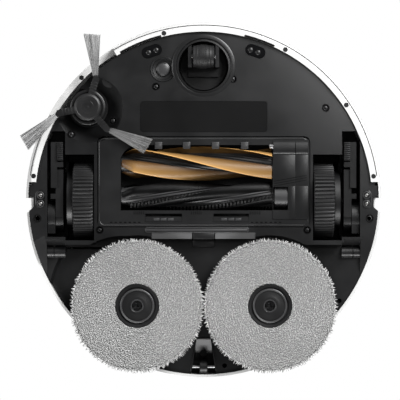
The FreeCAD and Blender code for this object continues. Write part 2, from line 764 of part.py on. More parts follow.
def caster():
    """The front castor: its socket, its swivelling fork, its wheel and its axle."""
    well = S.caster_well
    stem_radius, roof, roof_top = 4.0, 36.5, 40
    socket = turned("caster_socket", [
        (well, 10.6), (well + 2.0, 11.0), (well + 2.0, roof_top), (stem_radius + FIT, roof_top),
        (stem_radius + FIT, roof), (well, roof)],
        (0, S.caster_y, 0))
    keep("caster_socket", socket)
    cheeks = [box(f"cheek_{n}", (S.cheek_near * n, S.cheek_far * n), (-160, -130.5), (6.5, 31))
              for n in (-1, 1)]
    bridge = box("fork_bridge", (-S.cheek_far, S.cheek_far), (-136, -122), (26, 33))
    turntable = rod("turntable", "Z", (0, S.caster_y), 22.5, (29.5, 34))
    stem = rod("fork_stem", "Z", (0, S.caster_y), stem_radius, (33, 42))
    limit = rod("fork_limit", "Z", (0, S.caster_y), well - 0.9, (0, 50))
    fork = common("fork_round", fuse("fork_block", *cheeks, bridge, turntable, stem), limit)
    fork_bore = rod("fork_bore", "X", (S.caster_wheel_y, S.caster_wheel_radius), S.caster_axle, (-20, 20))
    room = rod("fork_wheel_room", "X", (S.caster_wheel_y, S.caster_wheel_radius),
               S.caster_wheel_radius + 1.2, (-S.cheek_near, S.cheek_near))
    keep("caster_fork", cut("caster_fork", fork, fork_bore, room))
    half = S.caster_half_width
    bore, side, shoulder = S.caster_axle + FIT, S.caster_wheel_radius - 1.8, S.caster_wheel_radius - 0.5
    wheel = turned("caster_wheel", [
        (bore, -half), (side, -half), (shoulder, -half + 3), (S.caster_wheel_radius, 0), (shoulder, half - 3),
        (side, half), (bore, half)],
        (0, S.caster_wheel_y, S.caster_wheel_radius), "X")
    keep("caster_wheel", wheel)
    axle = rod("caster_axle", "X", (S.caster_wheel_y, S.caster_wheel_radius), S.caster_axle, (-14.6, 14.6))
    keep("caster_axle", axle)


def rear_wheel():
    """The small roller in the bay at the back."""
    bore, half, edge = S.rear_axle + FIT, 4.0, 0.6
    outline = [(bore, -half), (S.rear_wheel_radius - edge, -half), (S.rear_wheel_radius, edge - half),
               (S.rear_wheel_radius, half - edge), (S.rear_wheel_radius - edge, half), (bore, half)]
    keep("rear_wheel", turned("rear_wheel", outline, (0, S.rear_wheel_y, S.rear_wheel_height), "X"))


def steel_pins():
    """The rear roller's axle, and the pins that the drive wheels' arms turn on."""
    pins = [rod("rear_axle", "X", (S.rear_wheel_y, S.rear_wheel_height), S.rear_axle, (-13.2, 13.2))]
    for side, sign in SIDES.items():
        span = (129.2 * sign, 138 * sign)
        pins.append(rod(f"{side}_pivot_pin", "X", (S.pivot_y, S.pivot_height), S.pivot_pin, span))
    keep("steel_pins", fuse("steel_pins", *pins))


# ---------------------------------------------------------------- side brush

def side_brush():
    """The side brush: the arm that carries it, its hub with three rubber arms, and its bristles."""
    hub = (S.brush_x, S.brush_y)
    pivot = (S.brush_arm_x, S.brush_arm_y)
    link_z = (28.8, 34)
    shaft, hub_top = 3.0, 12.0
    housing = rod("arm_housing", "Z", hub, S.brush_ring, (12.6, 24.2))
    neck = rod("arm_neck", "Z", hub, 9.0, (24, 29))
    boss = rod("arm_boss", "Z", pivot, 8, link_z)
    middle = (-103.4, -104.5)
    link = slot("arm_link", middle, 52, 17, link_z, -51.6)
    bores = [rod("arm_shaft_bore", "Z", hub, shaft + FIT, (10, 21)),
             rod("arm_pivot_bore", "Z", pivot, S.arm_post + FIT, (20, 40))]
    keep("side_brush_arm", cut("side_brush_arm", fuse("arm_block", housing, neck, boss, link), *bores))
    outline = [(0, 3.4), (11.6, 3.4), (S.brush_hub, 4.6), (S.brush_hub, hub_top), (shaft, hub_top),
               (shaft, 20.6), (0, 20.6)]
    disc = turned("hub_disc", outline, (*hub, 0))
    arms = []
    for n, angle in enumerate(BRUSH_ARM_ANGLES):
        arm = slot(f"rubber_arm_{n}", (0, 0), 36, 6.4, (4.8, 8.6))
        turn = FreeCAD.Rotation(FreeCAD.Vector(0, 0, 1), angle)
        reach = turn.multVec(FreeCAD.Vector(13.6, 0, 0))
        place(arm, (S.brush_x + reach.x, S.brush_y + reach.y, 0), turn)
        arms.append(arm)
    keep("side_brush_hub", fuse("side_brush_hub", disc, *arms))
    fans = []
    for n, (root, tip) in enumerate(BRISTLE_ANGLES):
        fan = doc.addObject("Part::Feature", f"bristle_fan_{n}")
        fan.Shape = bristle_fan(root, tip)
        fans.append(place(fan, (*hub, 0)))
    keep("side_brush_bristles", fuse("side_brush_bristles", *fans))


def bristle_fan(root_angle, tip_angle):
    """A thin wedge of bristles, from the end of a rubber arm down to just above the floor."""
    def across(angle, reach, half_width, height):
        turn = FreeCAD.Rotation(FreeCAD.Vector(0, 0, 1), angle)
        top = height + 1.6
        corners = [(-half_width, height), (half_width, height), (half_width, top), (-half_width, top)]
        points = [turn.multVec(FreeCAD.Vector(reach, y, z)) for y, z in corners]
        return Part.makePolygon(points + points[:1])

    root = across(root_angle, reach=32.2, half_width=2.5, height=5.4)
    tip = across(tip_angle, reach=71.6, half_width=8.7, height=0.9)
    return Part.makeLoft([root, tip], True, True)


# ---------------------------------------------------------------- rollers, housing and guard

def gear(name, y):
    """The small toothed wheel on a roller's end, which its drive turns."""
    teeth_count, root, tip = 12, 5.3, 6.8
    pitch_half = math.pi / teeth_count
    blank = rod(f"{name}_blank", "X", (y, S.roller_height), root, (S.gear_near, S.gear_far))
    teeth = []
    for n in range(teeth_count):
        angle = 2 * pitch_half * n
        points = []
        for radius, half in ((root - 0.3, 0.15), (tip, 0.07)):
            for sign in (-1, 1):
                turn = angle + sign * half
                points.append((radius * math.cos(turn), radius * math.sin(turn)))
        outline = [points[0], points[2], points[3], points[1]]
        corners = [FreeCAD.Vector(0, y_, z_) for y_, z_ in outline]
        face = Part.Face(Part.makePolygon(corners + corners[:1]))
        tooth = doc.addObject("Part::Feature", f"{name}_tooth_{n}")
        tooth.Shape = face.extrude(FreeCAD.Vector(float(S.gear_far - S.gear_near), 0, 0))
        teeth.append(place(tooth, (S.gear_near, y, S.roller_height)))
    bore = rod(f"{name}_bore", "X", (y, S.roller_height), S.stub_radius, (80, 99))
    keep(name, cut(name, fuse(f"{name}_block", blank, *teeth), bore))


def rollers():
    """The two rollers: each a core with its collar and end stubs, the room of its blades, and a gear."""
    for name, y, radius, collar in (("front_roller", S.front_roller_y, S.front_roller_radius, 7.4),
                                   ("rear_roller", S.rear_roller_y, S.rear_roller_radius, 11.3)):
        centre = (0, y, S.roller_height)
        stub, neck, waist = S.stub_radius, 6.0, 7.0
        start, shoulder, collar_near, collar_far, end = -86.8, -84.0, 70.0, 82.5, 95.8
        core = turned(f"{name}_core", [
            (0, start), (stub, start), (stub, shoulder), (neck, shoulder), (neck, S.roller_near),
            (S.roller_core, S.roller_near), (S.roller_core, S.roller_far), (waist, S.roller_far),
            (waist, collar_near), (collar, collar_near), (collar, collar_far), (stub, collar_far),
            (stub, end), (0, end)],
            centre, "X")
        keep(f"{name}_core", core)
        full = S.roller_near + 13
        fins = turned(f"{name}_fins", [
            (S.roller_core, S.roller_near), (S.roller_core + 0.8, S.roller_near), (radius, full),
            (radius, S.roller_far), (S.roller_core, S.roller_far)], centre, "X")
        keep(f"{name}_fins", fins)
        gear(f"{name}_gear", y)


def brush_housing():
    """The housing that the rollers turn in, open below, with the duct to the dust bin on top."""
    wall = 2.5
    outer = box("housing_outside", (S.housing_near, S.housing_far), (S.housing_front, S.housing_back),
                (13, S.housing_top))
    flange = box("housing_flange", (-105.3, 105.3), (-66, 30), (13.5, 15.5))
    neck = box("housing_neck", (-30, 30), (-52, -28), (S.housing_top - 1, 46))
    inner = box("housing_inside", (S.housing_near + wall, S.housing_far - wall),
                (S.housing_front + wall, S.housing_back - wall), (0, S.housing_top - wall))
    duct = box("housing_duct", (-28, 28), (-50, -30), (30, 50))
    bores = [rod(f"roller_bore_{n}", "X", (y, S.roller_height), S.stub_radius + FIT, (-99, 99))
             for n, y in enumerate((S.front_roller_y, S.rear_roller_y))]
    corner = brush_pocket("housing_corner", 3.4)
    bores += [rod(f"flange_screw_room_{n}", "Z", spot, 5.2, (10, 20))
              for n, spot in enumerate(SCREW_PLACES[-2:])]
    ribs = [(S.bay_edge_x * sign, y) for sign in (-1, 1) for y in ((-70, -60.2), (24.2, 31))]
    bores += [box(f"flange_rib_room_{n}", (x - 2, x + 2), y, (12, 17)) for n, (x, y) in enumerate(ribs)]
    whole = fuse("housing_block", outer, flange, neck)
    keep("brush_housing", cut("brush_housing", whole, inner, duct, corner, *bores))


def roller_guard():
    """The lift-off guard round the rollers' mouth, its latches and comb, and the scraper behind it."""
    low, high = S.floor_height - 0.4, S.floor_height + 2.4
    hinge_y = S.guard_front + S.guard_edge
    block = box("guard_block", (S.guard_near, S.guard_far), (hinge_y, S.guard_back), (low, high))
    edge = rod("guard_edge", "X", (hinge_y, (low + high) / 2), S.guard_edge, (-98, 98))
    plate = fuse("guard_plate", rounded("guard_block_rounded", block, 3.8, upright), edge)
    cap_block = box("guard_cap_block", (S.mouth_far, 102.9), (-59.5, 18.9), (low - 0.8, high))
    cap = rounded("guard_cap", cap_block, 1.5, upright)
    mouth = padded("guard_mouth", [
        (S.mouth_near, S.mouth_back), (S.mouth_near, -42.0), (-77.5, -48.0), (-69.5, S.mouth_front),
        (S.mouth_far, S.mouth_front), (S.mouth_far, S.mouth_back)], "XY", (0, 20))
    cap_window = box("cap_window", (68.4, 83.0), (-12.9, 9.9), (0, 20))
    play = 0.3
    slots = [box(f"latch_slot_{n}", (start - play, end + play), (13.4, 21.6), (0, 20))
             for n, (start, end) in enumerate(LATCHES)]
    dish = brush_pocket("guard_dish", 0)
    whole = fuse("guard_whole", plate, cap)
    keep("roller_guard", cut("roller_guard", whole, mouth, cap_window, dish, *slots))
    latches = [box(f"latch_{n}", span, (16.3, 21.3), (low - 0.2, high - 0.4))
               for n, span in enumerate(LATCHES)]
    keep("guard_latches", fuse("guard_latches", *latches))
    tooth_width = 7.2
    teeth = [box(f"comb_tooth_{n}", (x, x + tooth_width), (-57.0, -50.2), (low - 1.5, low))
             for n, x in enumerate(COMB_STARTS)]
    keep("comb_teeth", fuse("comb_teeth", *teeth))
    keep("scraper_strip", slot("scraper_strip", (-6.5, 29.4), 101.4, 4.6, (8.4, S.floor_height)))


# ---------------------------------------------------------------- drive wheels and legs

def drive_wheels():
    """Each drive wheel: a ribbed tyre, its rim, the sprung gearbox arm that carries it, and the spring."""
    centre = (0, S.wheel_radius)
    start = (0, 0, S.wheel_radius)
    pivot = (S.pivot_y, S.pivot_height)
    edge, axle_radius = 1.2, 4.0
    for side, sign in SIDES.items():
        near, far = sorted((S.tread_near * sign, S.tread_far * sign), key=float)
        tyre = turned(f"{side}_tire", [
            (S.rim_radius, near), (S.wheel_radius - edge, near), (S.wheel_radius, near + edge),
            (S.wheel_radius, far - edge), (S.wheel_radius - edge, far), (S.rim_radius, far)], start, "X")
        keep(f"{side}_tire", tyre)
        rim = rod(f"{side}_rim_disc", "X", centre, S.rim_radius, (near + 0.4, far - 0.4))
        hollow = rod(f"{side}_rim_hollow", "X", centre, S.rim_bore,
                     ((S.tread_near - 1) * sign, (S.tread_near + 8) * sign))
        hub = rod(f"{side}_rim_hub", "X", centre, S.hub_radius,
                  ((S.tread_near + 1.5) * sign, (S.tread_near + 9) * sign))
        bore = rod(f"{side}_rim_bore", "X", centre, axle_radius + FIT, (100 * sign, 140 * sign))
        rim = fuse(f"{side}_rim_block", cut(f"{side}_rim_cup", rim, hollow), hub)
        keep(f"{side}_rim", cut(f"{side}_rim", rim, bore))
        face = (S.gear_case_near * sign, S.gear_case_far * sign)
        case = rod(f"{side}_gear_case", "X", centre, S.gear_case_radius, face)
        boss = rod(f"{side}_gear_boss", "X", pivot, 8.0, face)
        link_outline = [(-36.5, 55.5), (-10, 12), (16, 62), (16, 66), (-26, 66)]
        link = padded(f"{side}_gear_link", link_outline, "YZ", face)
        axle = rod(f"{side}_gear_axle", "X", centre, axle_radius, ((S.tread_near + 2) * sign, face[1]))
        pivot_bore = rod(f"{side}_gear_pivot", "X", pivot, S.pivot_pin + FIT, (120 * sign, 140 * sign))
        block = fuse(f"{side}_gear_block", case, boss, link, axle)
        keep(f"{side}_gearbox", cut(f"{side}_gearbox", block, pivot_bore))
        spring_x = (S.gear_case_near + S.gear_case_far) / 2
        spring = tube(f"{side}_spring", "Z", (spring_x * sign, 8.0), (1.6, 2.5), (66.9, S.well_top - 0.1))
        keep(f"{side}_spring", spring)


def climbing_legs():
    """Each climbing leg: an arm with a rubber pad at its end, and the gearbox that turns it."""
    pivot = (S.leg_pivot_y, S.leg_pivot_height)
    shaft_radius = 5.0
    cases = []
    for side, sign in SIDES.items():
        inner = (S.leg_near * sign, S.leg_arm_far * sign)
        outer = (146.3 * sign, 153.7 * sign)
        hub = rod(f"{side}_leg_hub", "X", pivot, 15.0, inner)
        bar = box(f"{side}_leg_bar", inner, (-30, 17), (16.5, 30))
        block = side_box(f"{side}_leg_block", sign, (S.leg_pad_far, 150.4), (S.leg_front, -12), (14.5, 30))
        step = side_box(f"{side}_leg_step", sign, (S.leg_near, 145.0), (-37.6, -32.4), (14.5, 26))
        foot = side_box(f"{side}_leg_foot", sign, (145.0, 150.8), (-6.2, -1.2), (16.5, 20))
        shaft = rod(f"{side}_leg_shaft", "X", pivot, shaft_radius, (145.0 * sign, 150.0 * sign))
        keep(f"{side}_leg_arm", fuse(f"{side}_leg_arm", hub, bar, block, step, foot, shaft))
        pad = side_box(f"{side}_leg_pad", sign, (S.leg_near, S.leg_pad_far), (S.leg_front, -39), (12.6, 26))
        keep(f"{side}_leg_pad", pad)
        round_end = rod(f"{side}_leg_case_end", "X", pivot, 16.5, outer)
        case = box(f"{side}_leg_case", outer, (17, 33), (18, 54))
        bore = rod(f"{side}_leg_case_bore", "X", pivot, shaft_radius + FIT, (140 * sign, 150.3 * sign))
        cases.append(cut(f"{side}_leg_gearbox", fuse(f"{side}_leg_case_block", round_end, case), bore))
    keep("leg_gearboxes", fuse("leg_gearboxes", *cases))


# ---------------------------------------------------------------- mops

def mops():
    """Each round mop: its pad, the plate that holds it, and its drive. The right one hangs from an arm."""
    for side, sign in SIDES.items():
        start = (S.mop_x * sign, S.mop_y, 0)
        edge = S.mop_radius - 2
        pad = turned(f"{side}_mop_pad", [
            (S.pad_hole, 0), (edge, 0), (S.mop_radius, 2.5), (S.mop_radius, S.pad_height - 2),
            (edge, S.pad_height), (S.pad_hole, S.pad_height)], start)
        keep(f"{side}_mop_pad", pad)
        top, socket_top, peg = S.plate_top, 8.4, 6.0
        plate = turned(f"{side}_mop_plate", [
            (0, 6.0), (5.2, 6.0), (5.2, 2.6), (14.8, 2.6), (15.3, 2.0), (16.6, 2.0), (16.6, 4.0), (18.0, 4.0),
            (18.0, 2.8), (21.0, 2.8), (21.0, S.pad_height), (S.plate_radius, S.pad_height),
            (S.plate_radius, 9.4), (24, top), (peg + FIT, top), (peg + FIT, socket_top), (0, socket_top)],
            start)
        keep(f"{side}_mop_plate", plate)
        motor_bottom, motor_top, shoulder = 43.5, 62, 12.7
        drive = turned(f"{side}_mop_drive", [
            (0, socket_top + 0.2), (peg, socket_top + 0.2), (peg, shoulder), (S.shaft_radius, shoulder),
            (S.shaft_radius, motor_bottom), (20, motor_bottom), (20, motor_top), (0, motor_top)], start)
        keep(f"{side}_mop_drive", drive)
    pivot = (-S.mop_x, S.mop_y - S.mop_arm_length)
    mop = (-S.mop_x, S.mop_y)
    arm_bottom = S.arm_floor_height + 0.6
    arm_z = (arm_bottom, arm_bottom + S.arm_thickness)
    ring = rod("mop_arm_ring", "Z", mop, 17.0, arm_z)
    boss = rod("mop_arm_boss", "Z", pivot, 9.0, arm_z)
    bar = box("mop_arm_bar", (-S.mop_x - 7, -S.mop_x + 7), (S.mop_y - S.mop_arm_length, S.mop_y), arm_z)
    bores = [rod("mop_arm_bore", "Z", mop, S.shaft_radius + 0.3, (30, 50)),
             rod("mop_arm_pivot_bore", "Z", pivot, S.arm_post + FIT, (30, 50))]
    keep("right_mop_arm", cut("right_mop_arm", fuse("mop_arm_block", ring, boss, bar), *bores))


# ---------------------------------------------------------------- underside trim

def sensors_and_trim():
    """The sensors, rating plate, charging contacts and screws of the underside."""
    cliffs = [slot(f"cliff_sensor_{n}", (x, y), 20.0, 11.5, (13.4, 20), angle)
              for n, (x, y, angle) in enumerate(CLIFF_PLACES)]
    keep("cliff_sensors", fuse("cliff_sensors", *cliffs))
    face, groove, ring_face, back = 11.9, 13.0, 12.2, 18
    dome, ring, outside = 6.1, 10.6, 12.7
    carpet_outline = [(0, face), (dome, face), (dome, groove), (ring, groove), (outside, ring_face),
                      (outside, back), (0, back)]
    keep("carpet_sensor", turned("carpet_sensor", carpet_outline, (*CARPET_PLACE, 0)))
    label = box("label_block", LABEL_X, LABEL_Y, (S.floor_height + 0.25, S.floor_height + 0.6))
    keep("label_plate", rounded("label_plate", label, 3.0, upright))
    contact_radius, contact_height = 2.8, 15.0
    pins = []
    for side, sign in SIDES.items():
        for n, y in enumerate(CONTACT_YS):
            x = CONTACT_X * sign
            tip = ball(f"{side}_contact_tip_{n}", (x, y, contact_height), contact_radius)
            stem = rod(f"{side}_contact_stem_{n}", "Z", (x, y), contact_radius, (contact_height, 24))
            pins.append(fuse(f"{side}_contact_{n}", tip, stem))
    keep("charging_contacts", fuse("charging_contacts", *pins))
    screws = []
    for n, spot in enumerate(SCREW_PLACES):
        head = rod(f"screw_head_{n}", "Z", spot, 2.5, (S.floor_height + 0.9, S.floor_height + 2.4))
        shank = rod(f"screw_shank_{n}", "Z", spot, 1.5, (S.floor_height + 2, 19))
        screws.append(fuse(f"screw_{n}", head, shank))
    keep("screws", fuse("screws", *screws))


# ---------------------------------------------------------------- inside

def power_and_control():
    """The battery, and the circuit board with its chips above it."""
    battery = box("battery_block", (-68, 68), (-126, -82), (42, 64))
    keep("battery", rounded("battery", battery, 3.0))
    board_top, chip_top = 69.6, 72
    board = box("board", (-62, 62), (-126, -80), (68, board_top))
    chips = [box(f"chip_{n}", (x, x + 16), (y, y + 14), (board_top, chip_top))
             for n, (x, y) in enumerate(CHIP_PLACES)]
    keep("circuit_board", fuse("circuit_board", board, *chips))


def suction():
    """The fan behind the dust bin, the bin with its inlet and outlet, and its filter."""
    wall = 2.5
    fan_centre = (0, S.turret_y)
    fan = rod("fan_volute", "Z", fan_centre, S.fan_radius, (S.fan_bottom, S.fan_top))
    intake = box("fan_intake", (-16, 16), (24.6, S.turret_y), (36, 52))
    exhaust = box("fan_exhaust", (-16, 16), (S.turret_y, 97), (36, 50))
    hollow = rod("fan_hollow", "Z", fan_centre, S.fan_radius - wall, (S.fan_bottom + 3, S.fan_top - wall))
    keep("suction_fan", cut("suction_fan", fuse("fan_block", fan, intake, exhaust), hollow))
    walls = box("bin_outside", (-S.bin_half, S.bin_half), (S.bin_front, S.bin_back),
                (S.bin_bottom, S.bin_top))
    room = box("bin_inside", (S.bin_wall - S.bin_half, S.bin_half - S.bin_wall),
               (S.bin_front + S.bin_wall, S.bin_back - S.bin_wall),
               (S.bin_bottom + S.bin_wall, S.bin_top - S.bin_wall))
    inlet = box("bin_inlet", (-28, 28), (-50, -30), (40, 50))
    outlet_half, outlet_bottom, outlet_top = 30, 52, 72
    outlet = box("bin_outlet", (-outlet_half, outlet_half), (13, 25), (outlet_bottom, outlet_top))
    keep("dust_bin", cut("dust_bin", walls, room, inlet, outlet))
    play = 0.2
    keep("bin_filter", box("bin_filter", (play - outlet_half, outlet_half - play), (14, S.bin_back),
                           (outlet_bottom + play, outlet_top - play)))


def water_tank():
    """The clean water's tank, above the mops' drives."""
    tank = box("tank_block", (-38, 38), (100, 158), (46.6, 74))
    keep("water_tank", rounded("water_tank", tank, 4.0))


def lidar():
    """The rising turret, a cap on four posts, and the rotor with its window inside."""
    radius = S.turret_radius - 1
    centre = (0, S.turret_y, 0)
    spindle, low = 3.0, S.turret_floor
    wall_top, cap_bottom = 73, 84.6
    base = turned("turret_base", [
        (spindle + FIT, low), (radius, low), (radius, wall_top), (radius - 2.4, wall_top),
        (radius - 2.4, low + 3), (spindle + FIT, low + 3)], centre)
    cap = turned("turret_cap", [
        (0, cap_bottom), (radius, cap_bottom), (radius, 87.2), (radius - 2, S.turret_top), (0, S.turret_top)],
        centre)
    post_reach = 35.8
    posts = []
    for n in range(4):
        turn = math.radians(45 + 90 * n)
        at = (post_reach * math.cos(turn), S.turret_y + post_reach * math.sin(turn))
        posts.append(rod(f"turret_post_{n}", "Z", at, 1.0, (wall_top - 1, cap_bottom + 0.9)))
    keep("lidar_turret", fuse("lidar_turret", base, cap, *posts))
    rotor, head, head_top = 31, 24, cap_bottom - 1
    disc = turned("rotor_disc", [
        (0, low + 0.4), (spindle, low + 0.4), (spindle, low + 4), (rotor, low + 4), (rotor, wall_top),
        (head, 74.5), (head, head_top), (0, head_top)], centre)
    window = box("rotor_window", (-16, 16), (S.turret_y - rotor, S.turret_y - 20), (75.5, 82.5))
    keep("lidar_rotor", cut("lidar_rotor", disc, window))


# ---------------------------------------------------------------- build, check and write

for build in (chassis_base, top_shell, top_lid, bumper, power_button, caster, rear_wheel, steel_pins,
              side_brush, rollers, brush_housing, roller_guard, drive_wheels, climbing_legs, mops,
              sensors_and_trim, power_and_control, suction, water_tank, lidar):
    build()
doc.recompute()

for thing in doc.Objects:
    if "Invalid" in thing.State or "Error" in thing.State:
        raise RuntimeError(f"{thing.Name} ({thing.Label}) failed: {thing.State}")
for node, thing in NODES.items():
    if thing.Shape.isNull() or not thing.Shape.isValid() or not thing.Shape.Solids:
        raise RuntimeError(f"{node} has no valid solid")

os.makedirs("parts", exist_ok=True)
for node, thing in NODES.items():
    thing.Shape.exportStep(f"parts/{node}.step")
    print(f"{node}: {len(thing.Shape.Solids)} solid(s), {thing.Shape.Volume / 1000:.2f} cm3")
print(f"{len(NODES)} sub-parts written")
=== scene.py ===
"""Looks of a robot vacuum: materials for its CAD parts, and detailed meshes where the CAD is plain."""

import json
import math
import random

import bmesh
import bpy
from mathutils import Matrix, Vector

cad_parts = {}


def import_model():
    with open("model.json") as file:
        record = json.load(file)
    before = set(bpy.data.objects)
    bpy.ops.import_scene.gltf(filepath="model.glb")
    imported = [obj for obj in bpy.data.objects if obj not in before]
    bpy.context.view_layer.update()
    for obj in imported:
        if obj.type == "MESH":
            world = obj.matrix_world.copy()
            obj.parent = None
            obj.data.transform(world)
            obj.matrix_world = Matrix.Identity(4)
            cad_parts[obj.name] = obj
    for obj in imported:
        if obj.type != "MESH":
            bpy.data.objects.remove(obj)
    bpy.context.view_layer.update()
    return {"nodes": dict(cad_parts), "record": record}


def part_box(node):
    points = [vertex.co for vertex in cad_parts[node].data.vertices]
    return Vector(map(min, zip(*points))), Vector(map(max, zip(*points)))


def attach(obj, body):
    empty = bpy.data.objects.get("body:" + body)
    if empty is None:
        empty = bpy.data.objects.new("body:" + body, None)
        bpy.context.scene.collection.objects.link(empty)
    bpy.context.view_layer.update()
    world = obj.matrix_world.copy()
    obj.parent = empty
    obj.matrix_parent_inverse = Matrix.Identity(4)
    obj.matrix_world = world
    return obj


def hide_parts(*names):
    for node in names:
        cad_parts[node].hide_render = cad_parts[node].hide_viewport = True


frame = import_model()
NODES = frame["nodes"]
MM = 0.001
SIDES = ("left", "right")

# Brightness of the white surround: level with the robot, and straight above and below it.
SIDE_GLOW, POLE_GLOW = 0.5, 0.06
# Heights between which painted shade darkens the fleece from its loop tips to its roots.
PILE_TIP, PILE_ROOT = 0.6 * MM, 2.6 * MM
# Radius of both brush rollers under their blades.
CORE_RADIUS = 9.0 * MM


# -------------------- materials

class Graph:
    """A material's nodes, with short calls to add and join them."""

    def __init__(self, name):
        self.material = bpy.data.materials.new(name)
        self.material.use_nodes = True
        self.tree = self.material.node_tree
        self.shader = self.tree.nodes["Principled BSDF"]
        self.where = self.add("ShaderNodeTexCoord").outputs["Object"]

    def add(self, kind, **values):
        """A new node; each value goes to the socket of that name, or else to the node's own setting."""
        node = self.tree.nodes.new(kind)
        for key, value in values.items():
            socket = node.inputs.get(key.replace("_", " ")) if node.inputs else None
            if socket is not None:
                socket.default_value = value
            else:
                setattr(node, key.lower(), value)
        return node

    def join(self, output, target):
        self.tree.links.new(output, target)

    def noise(self, scale, detail, roughness, stretch=None):
        """Noise over the object's own coordinates, which stretch scales first."""
        where = self.where
        if stretch:
            mapping = self.add("ShaderNodeMapping")
            mapping.inputs["Scale"].default_value = stretch
            self.join(where, mapping.inputs["Vector"])
            where = mapping.outputs["Vector"]
        texture = self.add("ShaderNodeTexNoise", Scale=scale, Detail=detail, Roughness=roughness)
        self.join(where, texture.inputs["Vector"])
        return texture.outputs["Fac"]

    def spread(self, value, low, high, start=0.3, end=0.7):
        """Maps a value between start and end to numbers between low and high."""
        node = self.add("ShaderNodeMapRange")
        for key, number in (("From Min", start), ("From Max", end), ("To Min", low), ("To Max", high)):
            node.inputs[key].default_value = number
        self.join(value, node.inputs["Value"])
        return node.outputs["Result"]

    def ramp(self, value, stops):
        """Maps a value to colours: stops are (place, colour)."""
        node = self.add("ShaderNodeValToRGB")
        elements = node.color_ramp.elements
        while len(elements) < len(stops):
            elements.new(0.5)
        for element, (place, colour) in zip(elements, stops):
            element.position = place
            element.color = (*colour, 1.0)
        self.join(value, node.inputs["Fac"])
        return node.outputs["Color"]

    def bump(self, height, distance):
        """A bump normal from a height, at full strength over a distance in metres."""
        node = self.add("ShaderNodeBump", Distance=distance, Strength=1.0)
        self.join(height, node.inputs["Height"])
        return node.outputs["Normal"]

    def set(self, **values):
        """Sets or joins the shader's sockets and gives the finished material."""
        for key, value in values.items():
            socket = self.shader.inputs[key.replace("_", " ")]
            if isinstance(value, bpy.types.NodeSocket):
                self.join(value, socket)
            else:
                socket.default_value = value
        return self.material


def shade(colour, factor):
    """A colour made lighter or darker by a factor."""
    return tuple(min(1.0, channel * factor) for channel in colour)


def moulded(name, colour, roughness, grain=1400.0, depth=0.00003, uneven=0.12, coat=0.0, specular=0.5):
    """Injection-moulded plastic: spark-eroded grain, faint flow marks and slightly uneven gloss."""
    g = Graph(name)
    fine = g.noise(grain, 2.0, 0.6)
    broad = g.noise(26.0, 4.0, 0.55)
    tint = g.ramp(broad, [(0.3, shade(colour, 1.0 - uneven)), (0.7, shade(colour, 1.0 + uneven))])
    gloss = g.spread(broad, roughness - 0.05, roughness + 0.06)
    return g.set(Base_Color=tint, Roughness=gloss, Normal=g.bump(fine, depth), Coat_Weight=coat,
                 Coat_Roughness=0.12, Specular_IOR_Level=specular)


def rubbery(name, colour, roughness, specular):
    """Soft rubber with a dull bloom and fine pores."""
    g = Graph(name)
    pores = g.noise(2600.0, 2.0, 0.7)
    bloom = g.noise(45.0, 5.0, 0.6)
    tint = g.ramp(bloom, [(0.3, shade(colour, 0.8)), (0.75, shade(colour, 1.35))])
    return g.set(Base_Color=tint, Roughness=g.spread(bloom, roughness - 0.06, roughness + 0.1),
                 Normal=g.bump(pores, 0.00004), Specular_IOR_Level=specular)


def metal(name, colour, roughness):
    """Bare metal with fine drawing lines along one axis."""
    g = Graph(name)
    lines = g.noise(900.0, 3.0, 0.6, (1.0, 1.0, 0.06))
    return g.set(Base_Color=g.ramp(lines, [(0.3, shade(colour, 0.86)), (0.7, shade(colour, 1.06))]),
                 Metallic=1.0, Roughness=g.spread(lines, roughness - 0.05, roughness + 0.08),
                 Normal=g.bump(lines, 0.00001))


def pile(name):
    """Looped microfibre: each loop has its own grey, with painted shade darkening it towards its root."""
    g = Graph(name)
    each = g.add("ShaderNodeNewGeometry").outputs["Random Per Island"]
    greys = [(0.0, (0.46, 0.46, 0.46)), (0.5, (0.60, 0.60, 0.595)), (1.0, (0.74, 0.74, 0.735))]
    loops = g.ramp(each, greys)
    height = g.add("ShaderNodeSeparateXYZ")
    g.join(g.where, height.inputs["Vector"])
    # painted shade: the loops' grey is darkened from their tips down to their roots
    depth = g.spread(height.outputs["Z"], 1.0, 0.42, PILE_TIP, PILE_ROOT)
    mix = g.add("ShaderNodeMix", data_type="RGBA", blend_type="MULTIPLY")
    mix.inputs["Factor"].default_value = 1.0
    g.join(loops, mix.inputs["A"])
    g.join(depth, mix.inputs["B"])
    return g.set(Base_Color=mix.outputs["Result"], Roughness=0.95, Sheen_Weight=0.2, Sheen_Roughness=0.5,
                 Specular_IOR_Level=0.15, Normal=g.bump(g.noise(1900.0, 2.0, 0.7), 0.00015))


def filament(name, colour):
    """Nylon bristles, each a little lighter or darker than the next."""
    g = Graph(name)
    each = g.add("ShaderNodeNewGeometry").outputs["Random Per Island"]
    tones = [(0.0, shade(colour, 0.45)), (0.5, colour), (1.0, shade(colour, 1.6))]
    return g.set(Base_Color=g.ramp(each, tones), Roughness=g.spread(each, 0.35, 0.6, 0.0, 1.0))


